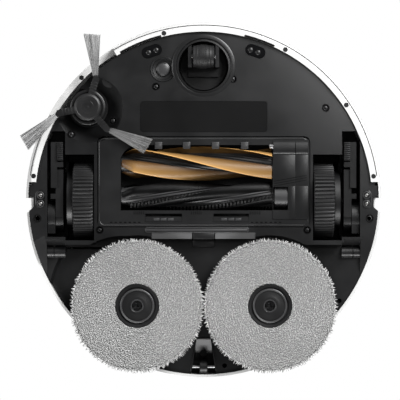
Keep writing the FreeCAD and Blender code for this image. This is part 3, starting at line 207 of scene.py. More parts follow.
def elastomer(name, node, dark, light):
    """Satin elastomer of a roller, with painted shade deepening towards the roots of its blades and a painted
    highlight at their tips.
    """
    g = Graph(name)
    low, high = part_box(node)
    from_axis = g.add("ShaderNodeVectorMath", operation="SUBTRACT")
    from_axis.inputs[1].default_value = (low + high) / 2
    g.join(g.where, from_axis.inputs[0])
    across = g.add("ShaderNodeVectorMath", operation="MULTIPLY")
    across.inputs[1].default_value = (0.0, 1.0, 1.0)
    g.join(from_axis.outputs["Vector"], across.inputs[0])
    radius = g.add("ShaderNodeVectorMath", operation="LENGTH")
    g.join(across.outputs["Vector"], radius.inputs[0])
    rise = g.spread(radius.outputs["Value"], 0.0, 1.0, CORE_RADIUS, (high.z - low.z) / 2)
    fine = g.noise(1800.0, 2.0, 0.6)
    # painted shade from the core out along each blade, and a painted highlight at the very tips
    tones = [(0.1, dark), (0.72, shade(light, 0.62)), (0.93, light), (1.0, shade(light, 1.75))]
    painted_shade_highlight = g.ramp(rise, tones)
    return g.set(Base_Color=painted_shade_highlight, Roughness=g.spread(g.noise(60.0, 3.0, 0.5), 0.3, 0.42),
                 Specular_IOR_Level=0.4, Normal=g.bump(fine, 0.00002))


def board_green(name):
    """Circuit board: solder mask with a grid of traces."""
    g = Graph(name)
    bricks = g.add("ShaderNodeTexBrick", Scale=160.0)
    g.join(g.where, bricks.inputs["Vector"])
    bricks.inputs["Color1"].default_value = (0.01, 0.12, 0.05, 1)
    bricks.inputs["Color2"].default_value = (0.015, 0.16, 0.06, 1)
    bricks.inputs["Mortar"].default_value = (0.05, 0.3, 0.12, 1)
    return g.set(Base_Color=bricks.outputs["Color"], Roughness=0.4,
                 Normal=g.bump(bricks.outputs["Fac"], 0.00005))


def pleated(name):
    """Filter paper with close pleats, with painted shade in their folds."""
    g = Graph(name)
    wave = g.add("ShaderNodeTexWave", Scale=180.0, Distortion=0.3)
    g.join(g.where, wave.inputs["Vector"])
    return g.set(Base_Color=g.ramp(wave.outputs["Fac"], [(0.1, (0.45, 0.44, 0.4)), (0.8, (0.8, 0.8, 0.76))]),
                 Roughness=0.9, Normal=g.bump(wave.outputs["Fac"], 0.0006))


# The numbers of moulded() are roughness, grain scale and depth, unevenness, coat and specular level.
MATERIALS = {
    "white_shell": moulded("white_shell", (0.62, 0.62, 0.615), 0.28, 1800.0, 0.000008, 0.02, 0.3),
    "black_chassis": moulded("black_chassis", (0.0065, 0.0066, 0.0069), 0.34, 1500.0, 0.00002, 0.16),
    "dark_plastic": moulded("dark_plastic", (0.0042, 0.0042, 0.0045), 0.38, 1600.0, 0.00002, 0.2),
    "edge_grey": moulded("edge_grey", (0.085, 0.085, 0.086), 0.4, 1500.0, 0.00002, 0.16),
    "grey_plastic": moulded("grey_plastic", (0.03, 0.03, 0.031), 0.4, 1600.0, 0.00002, 0.1),
    "black_gloss": moulded("black_gloss", (0.004, 0.004, 0.0042), 0.2, 900.0, 0.000004, 0.2, 0.3),
    "shadow": moulded("shadow", (0.0012, 0.0012, 0.0013), 0.7, 900.0, 0.000004, 0.2, 0.0, 0.1),
    "window": moulded("window", (0.0025, 0.0025, 0.003), 0.1, 900.0, 0.000003, 0.2, 0.6),
    "rubber": rubbery("rubber", (0.0055, 0.0055, 0.0058), 0.42, 0.4),
    "tyre": rubbery("tyre", (0.007, 0.007, 0.0073), 0.5, 0.36),
    "blade_rubber": rubbery("blade_rubber", (0.002, 0.002, 0.0021), 0.3, 0.16),
    "gold_rubber": elastomer("gold_rubber", "front_roller_fins", (0.07, 0.032, 0.009),
                             (0.37, 0.205, 0.068)),
    "bristle": filament("bristle", (0.24, 0.24, 0.24)),
    "black_bristle": filament("black_bristle", (0.012, 0.012, 0.012)),
    "microfibre": pile("microfibre"),
    "steel": metal("steel", (0.34, 0.34, 0.345), 0.34),
    "contact": metal("contact", (0.2, 0.198, 0.194), 0.42),
    "screw": metal("screw", (0.055, 0.055, 0.056), 0.42),
    "label": moulded("label", (0.0016, 0.0016, 0.0017), 0.55, 2200.0, 0.00001, 0.1, 0.0, 0.15),
    "board": board_green("board"),
    "battery": moulded("battery", (0.02, 0.05, 0.15), 0.3, 500.0, 0.00004, 0.15),
    "clear_bin": moulded("clear_bin", (0.08, 0.08, 0.085), 0.16, 900.0, 0.000006, 0.1, 0.4),
    "filter": pleated("filter"),
    "tank": moulded("tank", (0.4, 0.45, 0.5), 0.2, 700.0, 0.000008, 0.08, 0.3),
}


def paint(thing, material):
    """Gives a CAD object one of the materials."""
    thing.data.materials.clear()
    thing.data.materials.append(MATERIALS[material])


for part in frame["record"]["subparts"]:
    paint(NODES[part["node"]], part["material_slot"])


# -------------------- mesh helpers

def piece(name, verts, faces, body, material, stands_for=(), angle=40.0):
    """A new mesh piece that rides on a CAD body. Edges sharper than the angle in degrees stay sharp."""
    mesh = bpy.data.meshes.new(name)
    mesh.from_pydata([tuple(v) for v in verts], [], [tuple(f) for f in faces])
    mesh.validate()
    mesh.update()
    thing = bpy.data.objects.new(name, mesh)
    bpy.context.scene.collection.objects.link(thing)
    mesh.materials.append(MATERIALS[material])
    mesh.polygons.foreach_set("use_smooth", [True] * len(mesh.polygons))
    mesh.set_sharp_from_angle(angle=math.radians(angle))
    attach(thing, body)
    if stands_for:
        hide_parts(*stands_for)
    return thing


class Soup:
    """Gathers the vertices and faces of many small shapes into one mesh."""

    def __init__(self):
        self.verts = []
        self.faces = []

    def add(self, verts, faces):
        """Adds one shape, whose faces count from its own first vertex."""
        start = len(self.verts)
        self.verts.extend(verts)
        self.faces.extend([tuple(start + i for i in face) for face in faces])

    def grid(self, rows, caps=True):
        """Joins equal rows of points into a skin. Each row closes on itself, and caps close both ends."""
        count = len(rows[0])
        verts = [point for row in rows for point in row]
        faces = []
        for r in range(len(rows) - 1):
            for c in range(count):
                d = (c + 1) % count
                faces.append((r * count + c, r * count + d, (r + 1) * count + d, (r + 1) * count + c))
        if caps:
            faces.append(tuple(range(count - 1, -1, -1)))
            faces.append(tuple((len(rows) - 1) * count + c for c in range(count)))
        self.add(verts, faces)

    def piece(self, name, body, material, **options):
        """Makes one piece of everything gathered."""
        return piece(name, self.verts, self.faces, body, material, **options)


def turned(base, *points):
    """A turned skin's profile in metres: each point is a radius and a height over the base, both in mm."""
    return [(radius * MM, base + height * MM) for radius, height in points]


def lathe_rows(profile, segments, centre, axis="Z"):
    """Rows of points for a turned skin: profile is (radius, distance along the axis) in metres."""
    rows = []
    for radius, along in profile:
        row = []
        for s in range(segments):
            turn = 2 * math.pi * s / segments
            a, b = radius * math.cos(turn), radius * math.sin(turn)
            local = {"Z": (a, b, along), "X": (along, a, b), "Y": (b, along, a)}[axis]
            row.append(Vector(local) + Vector(centre))
        rows.append(row)
    return rows


def strand(soup, start, end, width, sag, taper):
    """A thin three-sided fibre in two spans. Its middle is moved up by the sag; taper is its tip's share."""
    bend = Vector((0, 0, sag))
    along = (end - start).normalized()
    across = along.orthogonal().normalized()
    other = along.cross(across)
    rows = []
    for share, size in ((0.0, 1.0), (0.5, 0.85), (1.0, taper)):
        point = start.lerp(end, share) + bend * math.sin(math.pi * share)
        rows.append([point + (across * math.cos(turn) + other * math.sin(turn)) * width * size / 2
                     for turn in (0.0, 2 * math.pi / 3, 4 * math.pi / 3)])
    soup.grid(rows)


# -------------------- mop pads

PAD_HOLE_RADIUS = 21.6 * MM
LOOP_PITCH = 1.2 * MM
FRINGE_COUNT = 420
PAD_SEEDS = {"left": 11, "right": 23}


def pad_loops(soup, centre, low, outer, rng):
    """Rings of short bent loops that all lie roughly one way round."""
    reach = PAD_HOLE_RADIUS + 0.9 * MM
    while reach < outer - 0.5 * MM:
        around = int(2 * math.pi * reach / (LOOP_PITCH * 1.05))
        for k in range(around):
            turn = 2 * math.pi * (k + rng.uniform(-0.3, 0.3)) / around
            spot = reach + rng.uniform(-0.35, 0.35) * LOOP_PITCH
            lie = turn + math.radians(90) + rng.gauss(0.45, 0.4)
            direction = Vector((math.cos(lie), math.sin(lie), 0))
            start = Vector((centre.x + spot * math.cos(turn), centre.y + spot * math.sin(turn),
                            low + 2.4 * MM))
            end = start + direction * rng.uniform(0.7, 1.3) * MM
            end.z = low + rng.uniform(0.65, 1.2) * MM
            strand(soup, start, end, rng.uniform(0.8, 1.1) * MM, -0.5 * MM, 0.6)
        reach += LOOP_PITCH


def pad_fringe(soup, centre, low, outer, rng):
    """Longer strands that stand out from the rim."""
    root = outer - 1.6 * MM
    for k in range(FRINGE_COUNT):
        turn = 2 * math.pi * (k + rng.uniform(-0.4, 0.4)) / FRINGE_COUNT
        lie = turn + rng.gauss(0, 0.5)
        height = rng.uniform(0.6, 4.0) * MM
        start = Vector((centre.x + root * math.cos(turn), centre.y + root * math.sin(turn), low + height))
        end = start + Vector((math.cos(lie), math.sin(lie), 0)) * rng.uniform(2.2, 4.0) * MM
        end.z = max(low + 0.9 * MM, start.z - rng.uniform(-0.3, 1.2) * MM)
        strand(soup, start, end, rng.uniform(0.8, 1.2) * MM, -0.4 * MM, 0.45)


def mop_pad(side):
    """A round pad: a crowned backing, rings of loops and a fringe."""
    node = f"{side}_mop_pad"
    low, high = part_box(node)
    centre = (low + high) / 2
    outer = (high.x - low.x) / 2
    inner = PAD_HOLE_RADIUS
    soup = Soup()
    profile = [(inner, high.z), (outer - 1.5 * MM, high.z), (outer - 0.4 * MM, high.z - 2 * MM),
               (outer - 0.8 * MM, low.z + 3.2 * MM), (outer - 4 * MM, low.z + 2.2 * MM),
               (inner + 2 * MM, low.z + 2.2 * MM), (inner, low.z + 2.8 * MM), (inner, high.z)]
    soup.grid(lathe_rows(profile, 96, (centre.x, centre.y, 0)), caps=False)
    rng = random.Random(PAD_SEEDS[side])
    pad_loops(soup, centre, low.z, outer, rng)
    pad_fringe(soup, centre, low.z, outer, rng)
    soup.piece(f"{side}_mop_pile", f"{side}_mop", "microfibre", stands_for=[node], angle=180.0)


for side in SIDES:
    mop_pad(side)


# -------------------- side brush bristles

BRUSH_AXIS = Vector((-113.9 * MM, -91.2 * MM, 0))
# The three tufts: the angle about the brush's axis where each leaves its sleeve, and where it ends.
TUFT_ANGLES = ((-75.0, -86.3), (46.5, 33.0), (166.0, 150.2))
SLEEVE_ANGLES = (-73.1, 48.6, 168.0)


def brush_tufts():
    """Three fans of separate nylon bristles that spread and droop to the floor."""
    soup = Soup()
    rng = random.Random(5)
    layers, columns = 3, 34
    for root_angle, tip_angle in TUFT_ANGLES:
        root_turn, tip_turn = math.radians(root_angle), math.radians(tip_angle)
        out_root = Vector((math.cos(root_turn), math.sin(root_turn), 0))
        out_tip = Vector((math.cos(tip_turn), math.sin(tip_turn), 0))
        side_root = Vector((-out_root.y, out_root.x, 0))
        side_tip = Vector((-out_tip.y, out_tip.x, 0))
        for layer in range(layers):
            for c in range(columns):
                share = (c + 0.5 + rng.uniform(-0.3, 0.3)) / columns * 2 - 1
                start = BRUSH_AXIS + out_root * 30.5 * MM + side_root * (share * 2.4 * MM)
                start.z = (5.7 + 0.4 * layer) * MM
                end = BRUSH_AXIS + out_tip * rng.uniform(70.6, 71.5) * MM + side_tip * (share * 8.4 * MM)
                end.z = (1.0 + 0.45 * layer + rng.uniform(0, 0.2)) * MM
                strand(soup, start, end, 0.34 * MM, 0.5 * MM, 0.8)
    soup.piece("side_brush_tufts", "side_brush", "bristle", stands_for=["side_brush_bristles"], angle=180.0)


brush_tufts()


# -------------------- rollers

# Length over which the blades rise to their full height.
TAPER_LENGTH = 13 * MM
FIN_COUNT = 4
REAR_TWIST = -150.0


def helical_fin(soup, centre, tip_radius, span, start, twist, width, lean, steps=60):
    """A blade wound about X that rises from the core and sweeps back towards its tip."""
    rises = (0.0, 0.35, 0.7, 1.0)
    root = CORE_RADIUS - 0.4 * MM
    rows = []
    for i in range(steps + 1):
        share = i / steps
        x = span[0] + (span[1] - span[0]) * share
        turn = start + twist * share
        taper = min(1.0, 0.1 + (x - span[0]) / TAPER_LENGTH)
        row = []
        for side in (1, -1):
            for rise in rises[::side]:
                radius = root + (tip_radius - CORE_RADIUS + 0.4 * MM) * rise * taper
                half = width * (1 - 0.8 * rise) / 2
                angle = turn + lean * rise ** 1.5 + side * half / radius
                row.append(Vector((x, centre[0] + radius * math.cos(angle),
                                   centre[1] + radius * math.sin(angle))))
        rows.append(row)
    soup.grid(rows)


def roller_place(name):
    """A roller's span along X, its axis as (Y, Z) and its radius."""
    low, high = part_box(f"{name}_fins")
    axis = (low.y + high.y) / 2, (low.z + high.z) / 2
    return (low.x + 0.3 * MM, high.x - 0.3 * MM), axis, (high.z - low.z) / 2


def roller(name, material, twist, width, lean, first):
    """A roller's blades, and low ridges along its core between them."""
    span, centre, radius = roller_place(name)
    twist = math.radians(twist)
    spaces = 5
    blades = Soup()
    ridges = Soup()
    for n in range(FIN_COUNT):
        start = math.radians(first) + 2 * math.pi * n / FIN_COUNT
        helical_fin(blades, centre, radius - 0.1 * MM, span, start, twist, width, lean)
        for k in range(1, spaces):
            between = start + 2 * math.pi / FIN_COUNT * k / spaces
            helical_fin(ridges, centre, CORE_RADIUS + 1.2 * MM, span, between, twist, 1.3 * MM, 0.0, 40)
    blades.piece(f"{name}_blades", name, material, stands_for=[f"{name}_fins"], angle=50.0)
    ridges.piece(f"{name}_ridges", name, "rubber", angle=50.0)


def tuft_rows(name, twist, first):
    """Rows of bristle tufts wound between the blades of a roller."""
    span, centre, radius = roller_place(name)
    rng = random.Random(3)
    soup = Soup()
    tufts, fibres = 40, 7
    inset = TAPER_LENGTH * 0.6
    for n in range(FIN_COUNT):
        for k in range(tufts):
            share = (k + 0.5) / tufts
            x = span[0] + inset + (span[1] - span[0] - inset) * share
            turn = math.radians(first + twist * (x - span[0]) / (span[1] - span[0]))
            turn += 2 * math.pi * n / FIN_COUNT
            for fibre in range(fibres):
                angle = turn + rng.uniform(-0.05, 0.05)
                lean = angle + 0.28 + rng.uniform(-0.06, 0.06)
                root = Vector((x + (fibre - 3) * 0.16 * MM, centre[0] + CORE_RADIUS * math.cos(angle),
                               centre[1] + CORE_RADIUS * math.sin(angle)))
                reach = radius - rng.uniform(0.1, 0.7) * MM
                tip = Vector((x + (fibre - 3) * 0.34 * MM, centre[0] + reach * math.cos(lean),
                              centre[1] + reach * math.sin(lean)))
                strand(soup, root, tip, 0.42 * MM, 0.0, 0.6)
    soup.piece(f"{name}_tufts", name, "black_bristle", angle=180.0)


roller("front_roller", "gold_rubber", 135.0, 3.6 * MM, 0.72, -22.0)
roller("rear_roller", "blade_rubber", REAR_TWIST, 3.0 * MM, -0.62, 10.0)
tuft_rows("rear_roller", REAR_TWIST, 48.0)


# -------------------- tyres

def tyre(side):
    """A tyre with a tread of crosswise ribs."""
    node = f"{side}_tire"
    low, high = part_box(node)
    centre = (low + high) / 2
    outer = (high.z - low.z) / 2
    half = (high.x - low.x) / 2
    ribs = 60
    dips = [depth * MM for depth in (0.0, 0.0, 0.0, 0.55, 1.35, 0.55)]
    steps = len(dips)
    soup = Soup()
    profile = [(outer - 5.5 * MM, -half), (outer - 1.4 * MM, -half), (outer - 0.5 * MM, -half + 0.4 * MM),
               (outer, -half + 1.2 * MM), (outer, half - 1.2 * MM), (outer - 0.5 * MM, half - 0.4 * MM),
               (outer - 1.4 * MM, half), (outer - 5.5 * MM, half)]
    rows = []
    for s in range(ribs * steps):
        turn = 2 * math.pi * s / (ribs * steps)
        row = []
        for radius, along in profile:
            if radius > outer - 0.6 * MM:
                radius -= dips[s % steps]
            row.append(centre + Vector((along, radius * math.cos(turn), radius * math.sin(turn))))
        rows.append(row)
    rows.append(rows[0])
    soup.grid(rows, caps=False)
    soup.piece(f"{side}_tread", f"{side}_wheel", "tyre", stands_for=[node], angle=30.0)


for side in SIDES:
    tyre(side)


# -------------------- small shapes

def block(soup, low, high, edge=0.3 * MM, turn=0.0):
    """A box with chamfered edges, turned about Z through its middle."""
    low, high = Vector(low), Vector(high)
    centre = (low + high) / 2
    half = (high - low) / 2
    edge = min(edge, *(value * 0.45 for value in half))
    mesh = bmesh.new()
    bmesh.ops.create_cube(mesh, size=2.0)
    bmesh.ops.scale(mesh, vec=half, verts=mesh.verts)
    bmesh.ops.bevel(mesh, geom=list(mesh.edges), offset=edge, segments=2, affect="EDGES", profile=0.5)
    spin = Matrix.Rotation(turn, 3, "Z")
    verts = [centre + spin @ vert.co for vert in mesh.verts]
    faces = [[vert.index for vert in face.verts] for face in mesh.faces]
    mesh.free()
    soup.add(verts, faces)


def round_piece(name, profile, centre, body, material, axis="Z", segments=64, stands_for=(), angle=35.0):
    """A turned piece: the profile's points are (radius, distance along the axis)."""
    soup = Soup()
    soup.grid(lathe_rows(profile, segments, centre, axis), caps=False)
    soup.piece(name, body, material, stands_for=stands_for, angle=angle)


def ring_strip(soup, radii, heights, start, end, thickness, steps=48):
    """A thin strip along an arc about the robot's middle: its two edges have their own radius and height."""
    rows = []
    for k in range(steps + 1):
        turn = math.radians(start + (end - start) * k / steps)
        way = Vector((math.cos(turn), math.sin(turn), 0))
        inner = way * radii[0] + Vector((0, 0, heights[0]))
        outer = way * radii[1] + Vector((0, 0, heights[1]))
        up = Vector((0, 0, thickness))
        rows.append([inner, outer, outer + up, inner + up])
    soup.grid(rows)


def bead(soup, path, radius, closed=True):
    """A round bar along a path of points."""
    sides = 8
    count = len(path)
    rows = []
    for k, point in enumerate(path):
        before = path[(k - 1) % count] if closed or k > 0 else point
        after = path[(k + 1) % count] if closed or k < count - 1 else point
        along = (after - before).normalized()
        across = Vector((0, 0, 1)).cross(along).normalized()
        up = along.cross(across)
        turns = [2 * math.pi * j / sides for j in range(sides)]
        rows.append([point + (across * math.cos(turn) + up * math.sin(turn)) * radius for turn in turns])
    if closed:
        rows.append(rows[0])
    soup.grid(rows, caps=not closed)


def rounded_path(low, high, radius, height):
    """Points round a rounded rectangle that lies at one height."""
    steps = 8
    corners = [((high.x - radius, high.y - radius), 0), ((low.x + radius, high.y - radius), 90),
               ((low.x + radius, low.y + radius), 180), ((high.x - radius, low.y + radius), 270)]
    path = []
    for (x, y), start in corners:
        for k in range(steps + 1):
            turn = math.radians(start + 90 * k / steps)
            path.append(Vector((x + radius * math.cos(turn), y + radius * math.sin(turn), height)))
    return path


# -------------------- roller guard

# The cap beside the rollers: where it starts along X, and the seam across it.
CAP_START = 68.6 * MM
CAP_SEAM = 90.3 * MM
# The rolled front edge of the cap in section: Y, and height over the guard's face, in mm.
CAP_CURVE = [(-59.2, 3.0), (-58.6, 1.2), (-57.4, 0.1), (-55.6, -0.9), (-53.4, -1.5), (-51.0, -1.8),
             (-48.4, -1.75), (-46.4, -1.3), (-45.2, -0.55), (-44.6, 0.4)]
# The ends of the two latches along X, in mm.
LATCH_SPANS = ((-57.1, -21.5), (10.1, 44.3))


def guard_rim():
    """A rounded bead round the guard."""
    low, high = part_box("roller_guard")
    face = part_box("comb_teeth")[1].z
    inset = Vector((1.5 * MM, 1.5 * MM, 0))
    soup = Soup()
    bead(soup, rounded_path(low + inset, high - inset, 5 * MM, face + 0.25 * MM), 0.6 * MM)
    soup.piece("guard_rim", "guard", "black_chassis")


def guard_cap():
    """The cover of the guard's cap, in two halves with a seam between them."""
    low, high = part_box("roller_guard")
    face = low.z
    soup = Soup()
    for start, end in ((CAP_START, CAP_SEAM - 0.35 * MM), (CAP_SEAM + 0.35 * MM, high.x - 1.5 * MM)):
        soup.grid([[Vector((x, y * MM, face + z * MM)) for y, z in CAP_CURVE] for x in (start, end)])
        for left, front, back in ((start, -44.4, -13.6), (max(start, 84.0 * MM), -13.6, 18.4)):
            block(soup, (left, front * MM, face - 0.35 * MM), (end, back * MM, face + 0.4 * MM))
    soup.piece("guard_cap_cover", "guard", "black_chassis", angle=30.0)


def guard_grooves():
    """Slanting grooves on the cap and two kinds of small vents on the frame, all shown as strips of painted
    shade.
    """
    low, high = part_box("roller_guard")
    face = low.z
    soup = Soup()
    for n in range(3):
        y = (-21.6 + 2.3 * n) * MM
        block(soup, (CAP_START + 0.4 * MM, y, face - 0.42 * MM),
              (high.x - 1.5 * MM - 1 * MM, y + 0.55 * MM, face - 0.2 * MM), 0.05 * MM, math.radians(-10.5))
    vent_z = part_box("comb_teeth")[1].z - 0.06 * MM

    def vent(x, width, front, back):
        """One vent: x is in metres, and the rest in mm."""
        block(soup, (x, front * MM, vent_z), (x + width * MM, back * MM, vent_z + 0.3 * MM), 0.05 * MM)

    for start in (-68.7, -12.4, 45.4):
        for n in range(6):
            vent((start + 1.9 * n) * MM, 0.8, 11.2, 14.2)
    for n in range(7):
        for start in (-92.0, 46.5):
            vent((start + 4.6 * n) * MM, 2.4, 21.4, 22.6)
    soup.piece("guard_grooves", "guard", "shadow")


def guard_pin():
    """The steel pin in the guard's hinge, with a chamfered end."""
    profile = [(0.0, 64.6 * MM), (2.2 * MM, 64.6 * MM), (2.7 * MM, 65.1 * MM), (2.7 * MM, 68.4 * MM),
               (0.0, 68.4 * MM)]
    round_piece("guard_pin", profile, (0, -52.6 * MM, 10.6 * MM), "guard", "steel", "X", 24)


def latch_grips():
    """Three finger ledges on each latch."""
    soup = Soup()
    low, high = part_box("guard_latches")
    for start, end in LATCH_SPANS:
        for offset in (-7.0, 0.0, 7.0):
            x = ((start + end) / 2 + offset) * MM
            block(soup, (x - 2.8 * MM, low.y + 1.4 * MM, low.z - 0.5 * MM),
                  (x + 2.8 * MM, high.y - 1.2 * MM, low.z + 0.2 * MM), 0.25 * MM)
    soup.piece("latch_grips", "latches", "grey_plastic")


guard_rim()
guard_cap()
guard_grooves()
guard_pin()
latch_grips()


def comb_teeth():
    """Short grey hooks along the front of the mouth, rounded at their ends."""
    low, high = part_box("comb_teeth")
    soup = Soup()
    for start in (-47.9, -20.2, 8.2, 36.7):
        block(soup, (start * MM, low.y, low.z), ((start + 7.2) * MM, high.y, high.z), 0.9 * MM)
        block(soup, ((start + 0.9) * MM, low.y + 2.4 * MM, low.z - 0.25 * MM),
              ((start + 6.3) * MM, high.y - 1.4 * MM, low.z + 0.4 * MM), 0.25 * MM)
    soup.piece("comb_hooks", "guard", "grey_plastic", stands_for=["comb_teeth"])


comb_teeth()


def scraper():
    """The rubber lip behind the guard, in a shallow frame."""
    low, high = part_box("scraper_strip")
    soup = Soup()
    bead(soup, rounded_path(low, high, 2.2 * MM, low.z + 1.2 * MM), 0.45 * MM)
    block(soup, (low.x + 0.8 * MM, low.y + 1.0 * MM, low.z + 0.15 * MM),
          (high.x - 0.8 * MM, high.y - 0.9 * MM, high.z), 0.8 * MM)
    soup.piece("scraper_lip", "chassis", "grey_plastic", stands_for=["scraper_strip"])


scraper()


# -------------------- fasteners and sensors

SCREW_PLACES = [(-46.9, -111.4), (-89.1, -77.7), (-130.1, -64.6), (28.7, -118.7), (119.9, -90.4),
                (-102.2, 29.6), (101.9, 29.6)]
# The underside is flat out to this radius in mm, and rises beyond it by the squared distance times the curve.
FLAT_RADIUS = 95.0
DOME_CURVE = 1 / 1200
# The two small holes in the rim, in mm.
RIM_HOLES = ((-163.5, 18.1), (163.5, 18.1))


def screw_heads():
    """Domed heads with a cross recess of painted shade, each in a countersunk ring of painted shade."""
    heads, crosses, rings = Soup(), Soup(), Soup()
    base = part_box("screws")[0].z
    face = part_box("chassis_base")[0].z
    for n, (x, y) in enumerate(SCREW_PLACES):
        centre = (x * MM, y * MM, 0)
        head = turned(base, (0.0, 0.05), (1.2, 0.08), (1.9, 0.3), (2.3, 0.8), (2.35, 1.5), (0.0, 1.5))
        heads.grid(lathe_rows(head, 32, centre), caps=False)
        rise = max(0.0, math.hypot(x, y) - FLAT_RADIUS) ** 2 * DOME_CURVE * MM
        # painted shade: a dark ring in each countersink round the head
        ring = turned(base, (2.4, 1.3), (3.25, 1.3))
        ring += turned(face + rise, (3.28, -0.1), (3.9, -0.16), (4.1, 0.2))
        rings.grid(lathe_rows(ring, 32, centre), caps=False)
        turn = 0.4 + n
        for reach in (Vector((1.25, 0.28, 0)), Vector((0.28, 1.25, 0))):
            spot = Vector(centre)
            block(crosses, spot - reach * MM + Vector((0, 0, base)),
                  spot + reach * MM + Vector((0, 0, base + 0.3 * MM)), 0.05 * MM, turn)
    heads.piece("screw_heads", "chassis", "screw", stands_for=["screws"])
    crosses.piece("screw_recesses", "chassis", "shadow")
    rings.piece("screw_rings", "chassis", "shadow")


screw_heads()


def plain_holes():
    """Cups of painted shade in the plain holes of the underside."""
    soup = Soup()
    for x, y, z in [(x, y, 24.6) for x, y in RIM_HOLES] + [(134.4, 99.8, 25.0), (20.8, 164.0, 25.0)]:
        cup = [(2.28 * MM, z * MM), (2.28 * MM, (z + 1.8) * MM), (0.0, (z + 2.2) * MM)]
        soup.grid(lathe_rows(cup, 24, (x * MM, y * MM, 0)), caps=False)
    soup.piece("hole_cups", "chassis", "shadow")


plain_holes()


def carpet_sensor():
    """An ultrasonic sensor: a raised ring, a groove and a smooth dome."""
    low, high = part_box("carpet_sensor")
    centre = ((low.x + high.x) / 2, (low.y + high.y) / 2, 0)
    radius = (high.x - low.x) / 2
    face = low.z
    profile = [(radius, high.z), (radius, face + 0.4 * MM), (radius - 0.5 * MM, face),
               (radius - 2.0 * MM, face + 0.2 * MM), (radius - 2.6 * MM, face + 1.4 * MM)]
    profile += turned(face, (7.4, 1.9), (6.6, 0.4), (6.0, 0.1))
    round_piece("carpet_sensor_ring", profile, centre, "chassis", "black_chassis",
                stands_for=["carpet_sensor"])
    dome = turned(face, (6.0, 0.5), (5.2, 0.05), (3.8, -0.35), (2.0, -0.6), (0.01, -0.7))
    round_piece("carpet_sensor_dome", dome, centre, "chassis", "grey_plastic")


carpet_sensor()


def cliff_lenses():
    """A sender and a receiver lens behind each dark cliff window."""
    low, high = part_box("cliff_sensors")
    soup = Soup()
    for side in (-1, 1):
        turn = math.radians(18.5 * side)
        x = side * (high.x - 10.6 * MM)
        y = (low.y + high.y) / 2
        for offset in (-4.2, 3.6):
            spot = (x + offset * MM * math.cos(turn), y + offset * MM * math.sin(turn), 0)
            dome = turned(low.z, (2.7, 0.1), (2.5, -0.3), (1.8, -0.7), (0.9, -0.95), (0.01, -1.0))
            soup.grid(lathe_rows(dome, 28, spot), caps=False)
    soup.piece("cliff_lenses", "chassis", "dark_plastic")


cliff_lenses()


# -------------------- caster

def caster_tyre():
    """A crowned wheel with fine grooves and three columns of raised dots round its middle."""
    low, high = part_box("caster_wheel")
    centre = (low + high) / 2
    radius = (high.z - low.z) / 2
    half = (high.x - low.x) / 2
    profile = [(2.1 * MM, -half), (radius - 2.0 * MM, -half), (radius - 1.3 * MM, -half + 0.7 * MM)]
    steps = 14
    for k in range(steps + 1):
        share = k / steps * 2 - 1
        along = share * (half - 1.6 * MM)
        crown = radius - 0.35 * MM - 0.9 * MM * share * share
        groove = 0.35 * MM if k % 2 and abs(share) > 0.35 else 0.0
        profile.append((crown - groove, along))
    profile += [(radius - 1.3 * MM, half - 0.7 * MM), (radius - 2.0 * MM, half), (2.1 * MM, half)]
    soup = Soup()
    soup.grid(lathe_rows(profile, 72, centre, "X"), caps=False)
    for column in (-2.0, 0.0, 2.0):
        for k in range(34):
            turn = 2 * math.pi * (k + (0.5 if column else 0.0)) / 34
            out = Vector((0, math.cos(turn), math.sin(turn)))
            along = Vector((0, -math.sin(turn), math.cos(turn)))
            spot = centre + Vector((column * MM, 0, 0)) + out * (radius - 0.5 * MM)
            size = 0.55 * MM
            ring = [spot + (Vector((1, 0, 0)) * math.cos(a) + along * math.sin(a)) * size
                    for a in (math.pi / 3 * j for j in range(6))]
            top = [point.lerp(spot, 0.4) + out * 0.4 * MM for point in ring]
            soup.grid([ring, top])
    soup.piece("caster_tyre", "caster_roll", "tyre", stands_for=["caster_wheel"], angle=30.0)


caster_tyre()


def caster_ring():
    """A low rounded ring round the caster's well."""
    low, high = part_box("caster_socket")
    profile = turned(0.0, (26.9, 10.3), (27.5, 9.8), (30.2, 9.75), (31.2, 10.3))
    round_piece("caster_ring", profile, ((low.x + high.x) / 2, (low.y + high.y) / 2, 0), "chassis",
                "black_chassis", segments=96)


caster_ring()


# -------------------- side brush hub

def brush_cap():
    """A stepped cap with a screw in its middle, a rim on the arm, and ribs on the sleeve of each tuft."""
    centre = BRUSH_AXIS
    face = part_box("side_brush_hub")[0].z
    profile = turned(face, (13.3, 2.4), (13.2, 1.0), (12.2, 0.1), (11.0, -0.25), (10.3, 0.1), (6.4, 0.15),
                     (6.0, -0.15), (3.4, -0.2), (3.0, 0.5), (2.2, 0.6))
    round_piece("brush_cap", profile, centre, "side_brush", "rubber", angle=28.0)
    head = turned(face, (2.2, 0.6), (2.0, 0.15), (1.2, -0.05), (0.01, -0.1))
    round_piece("brush_screw", head, centre, "side_brush", "dark_plastic", segments=24)
    rim = turned(0.0, (14.0, 12.5), (14.6, 12.05), (16.4, 12.0), (17.2, 12.5), (17.25, 13.2))
    round_piece("brush_arm_rim", rim, centre, "brush_arm", "dark_plastic")
    sleeves = Soup()
    for angle in SLEEVE_ANGLES:
        turn = math.radians(angle)
        out = Vector((math.cos(turn), math.sin(turn), 0))
        for reach in (16.0, 19.0, 22.0, 25.0):
            spot = centre + out * reach * MM
            block(sleeves, spot + Vector((-0.55, -3.35, 4.6)) * MM, spot + Vector((0.55, 3.35, 8.7)) * MM,
                  0.3 * MM, turn)
    sleeves.piece("brush_arm_ribs", "side_brush", "rubber")


brush_cap()


# -------------------- mop hubs

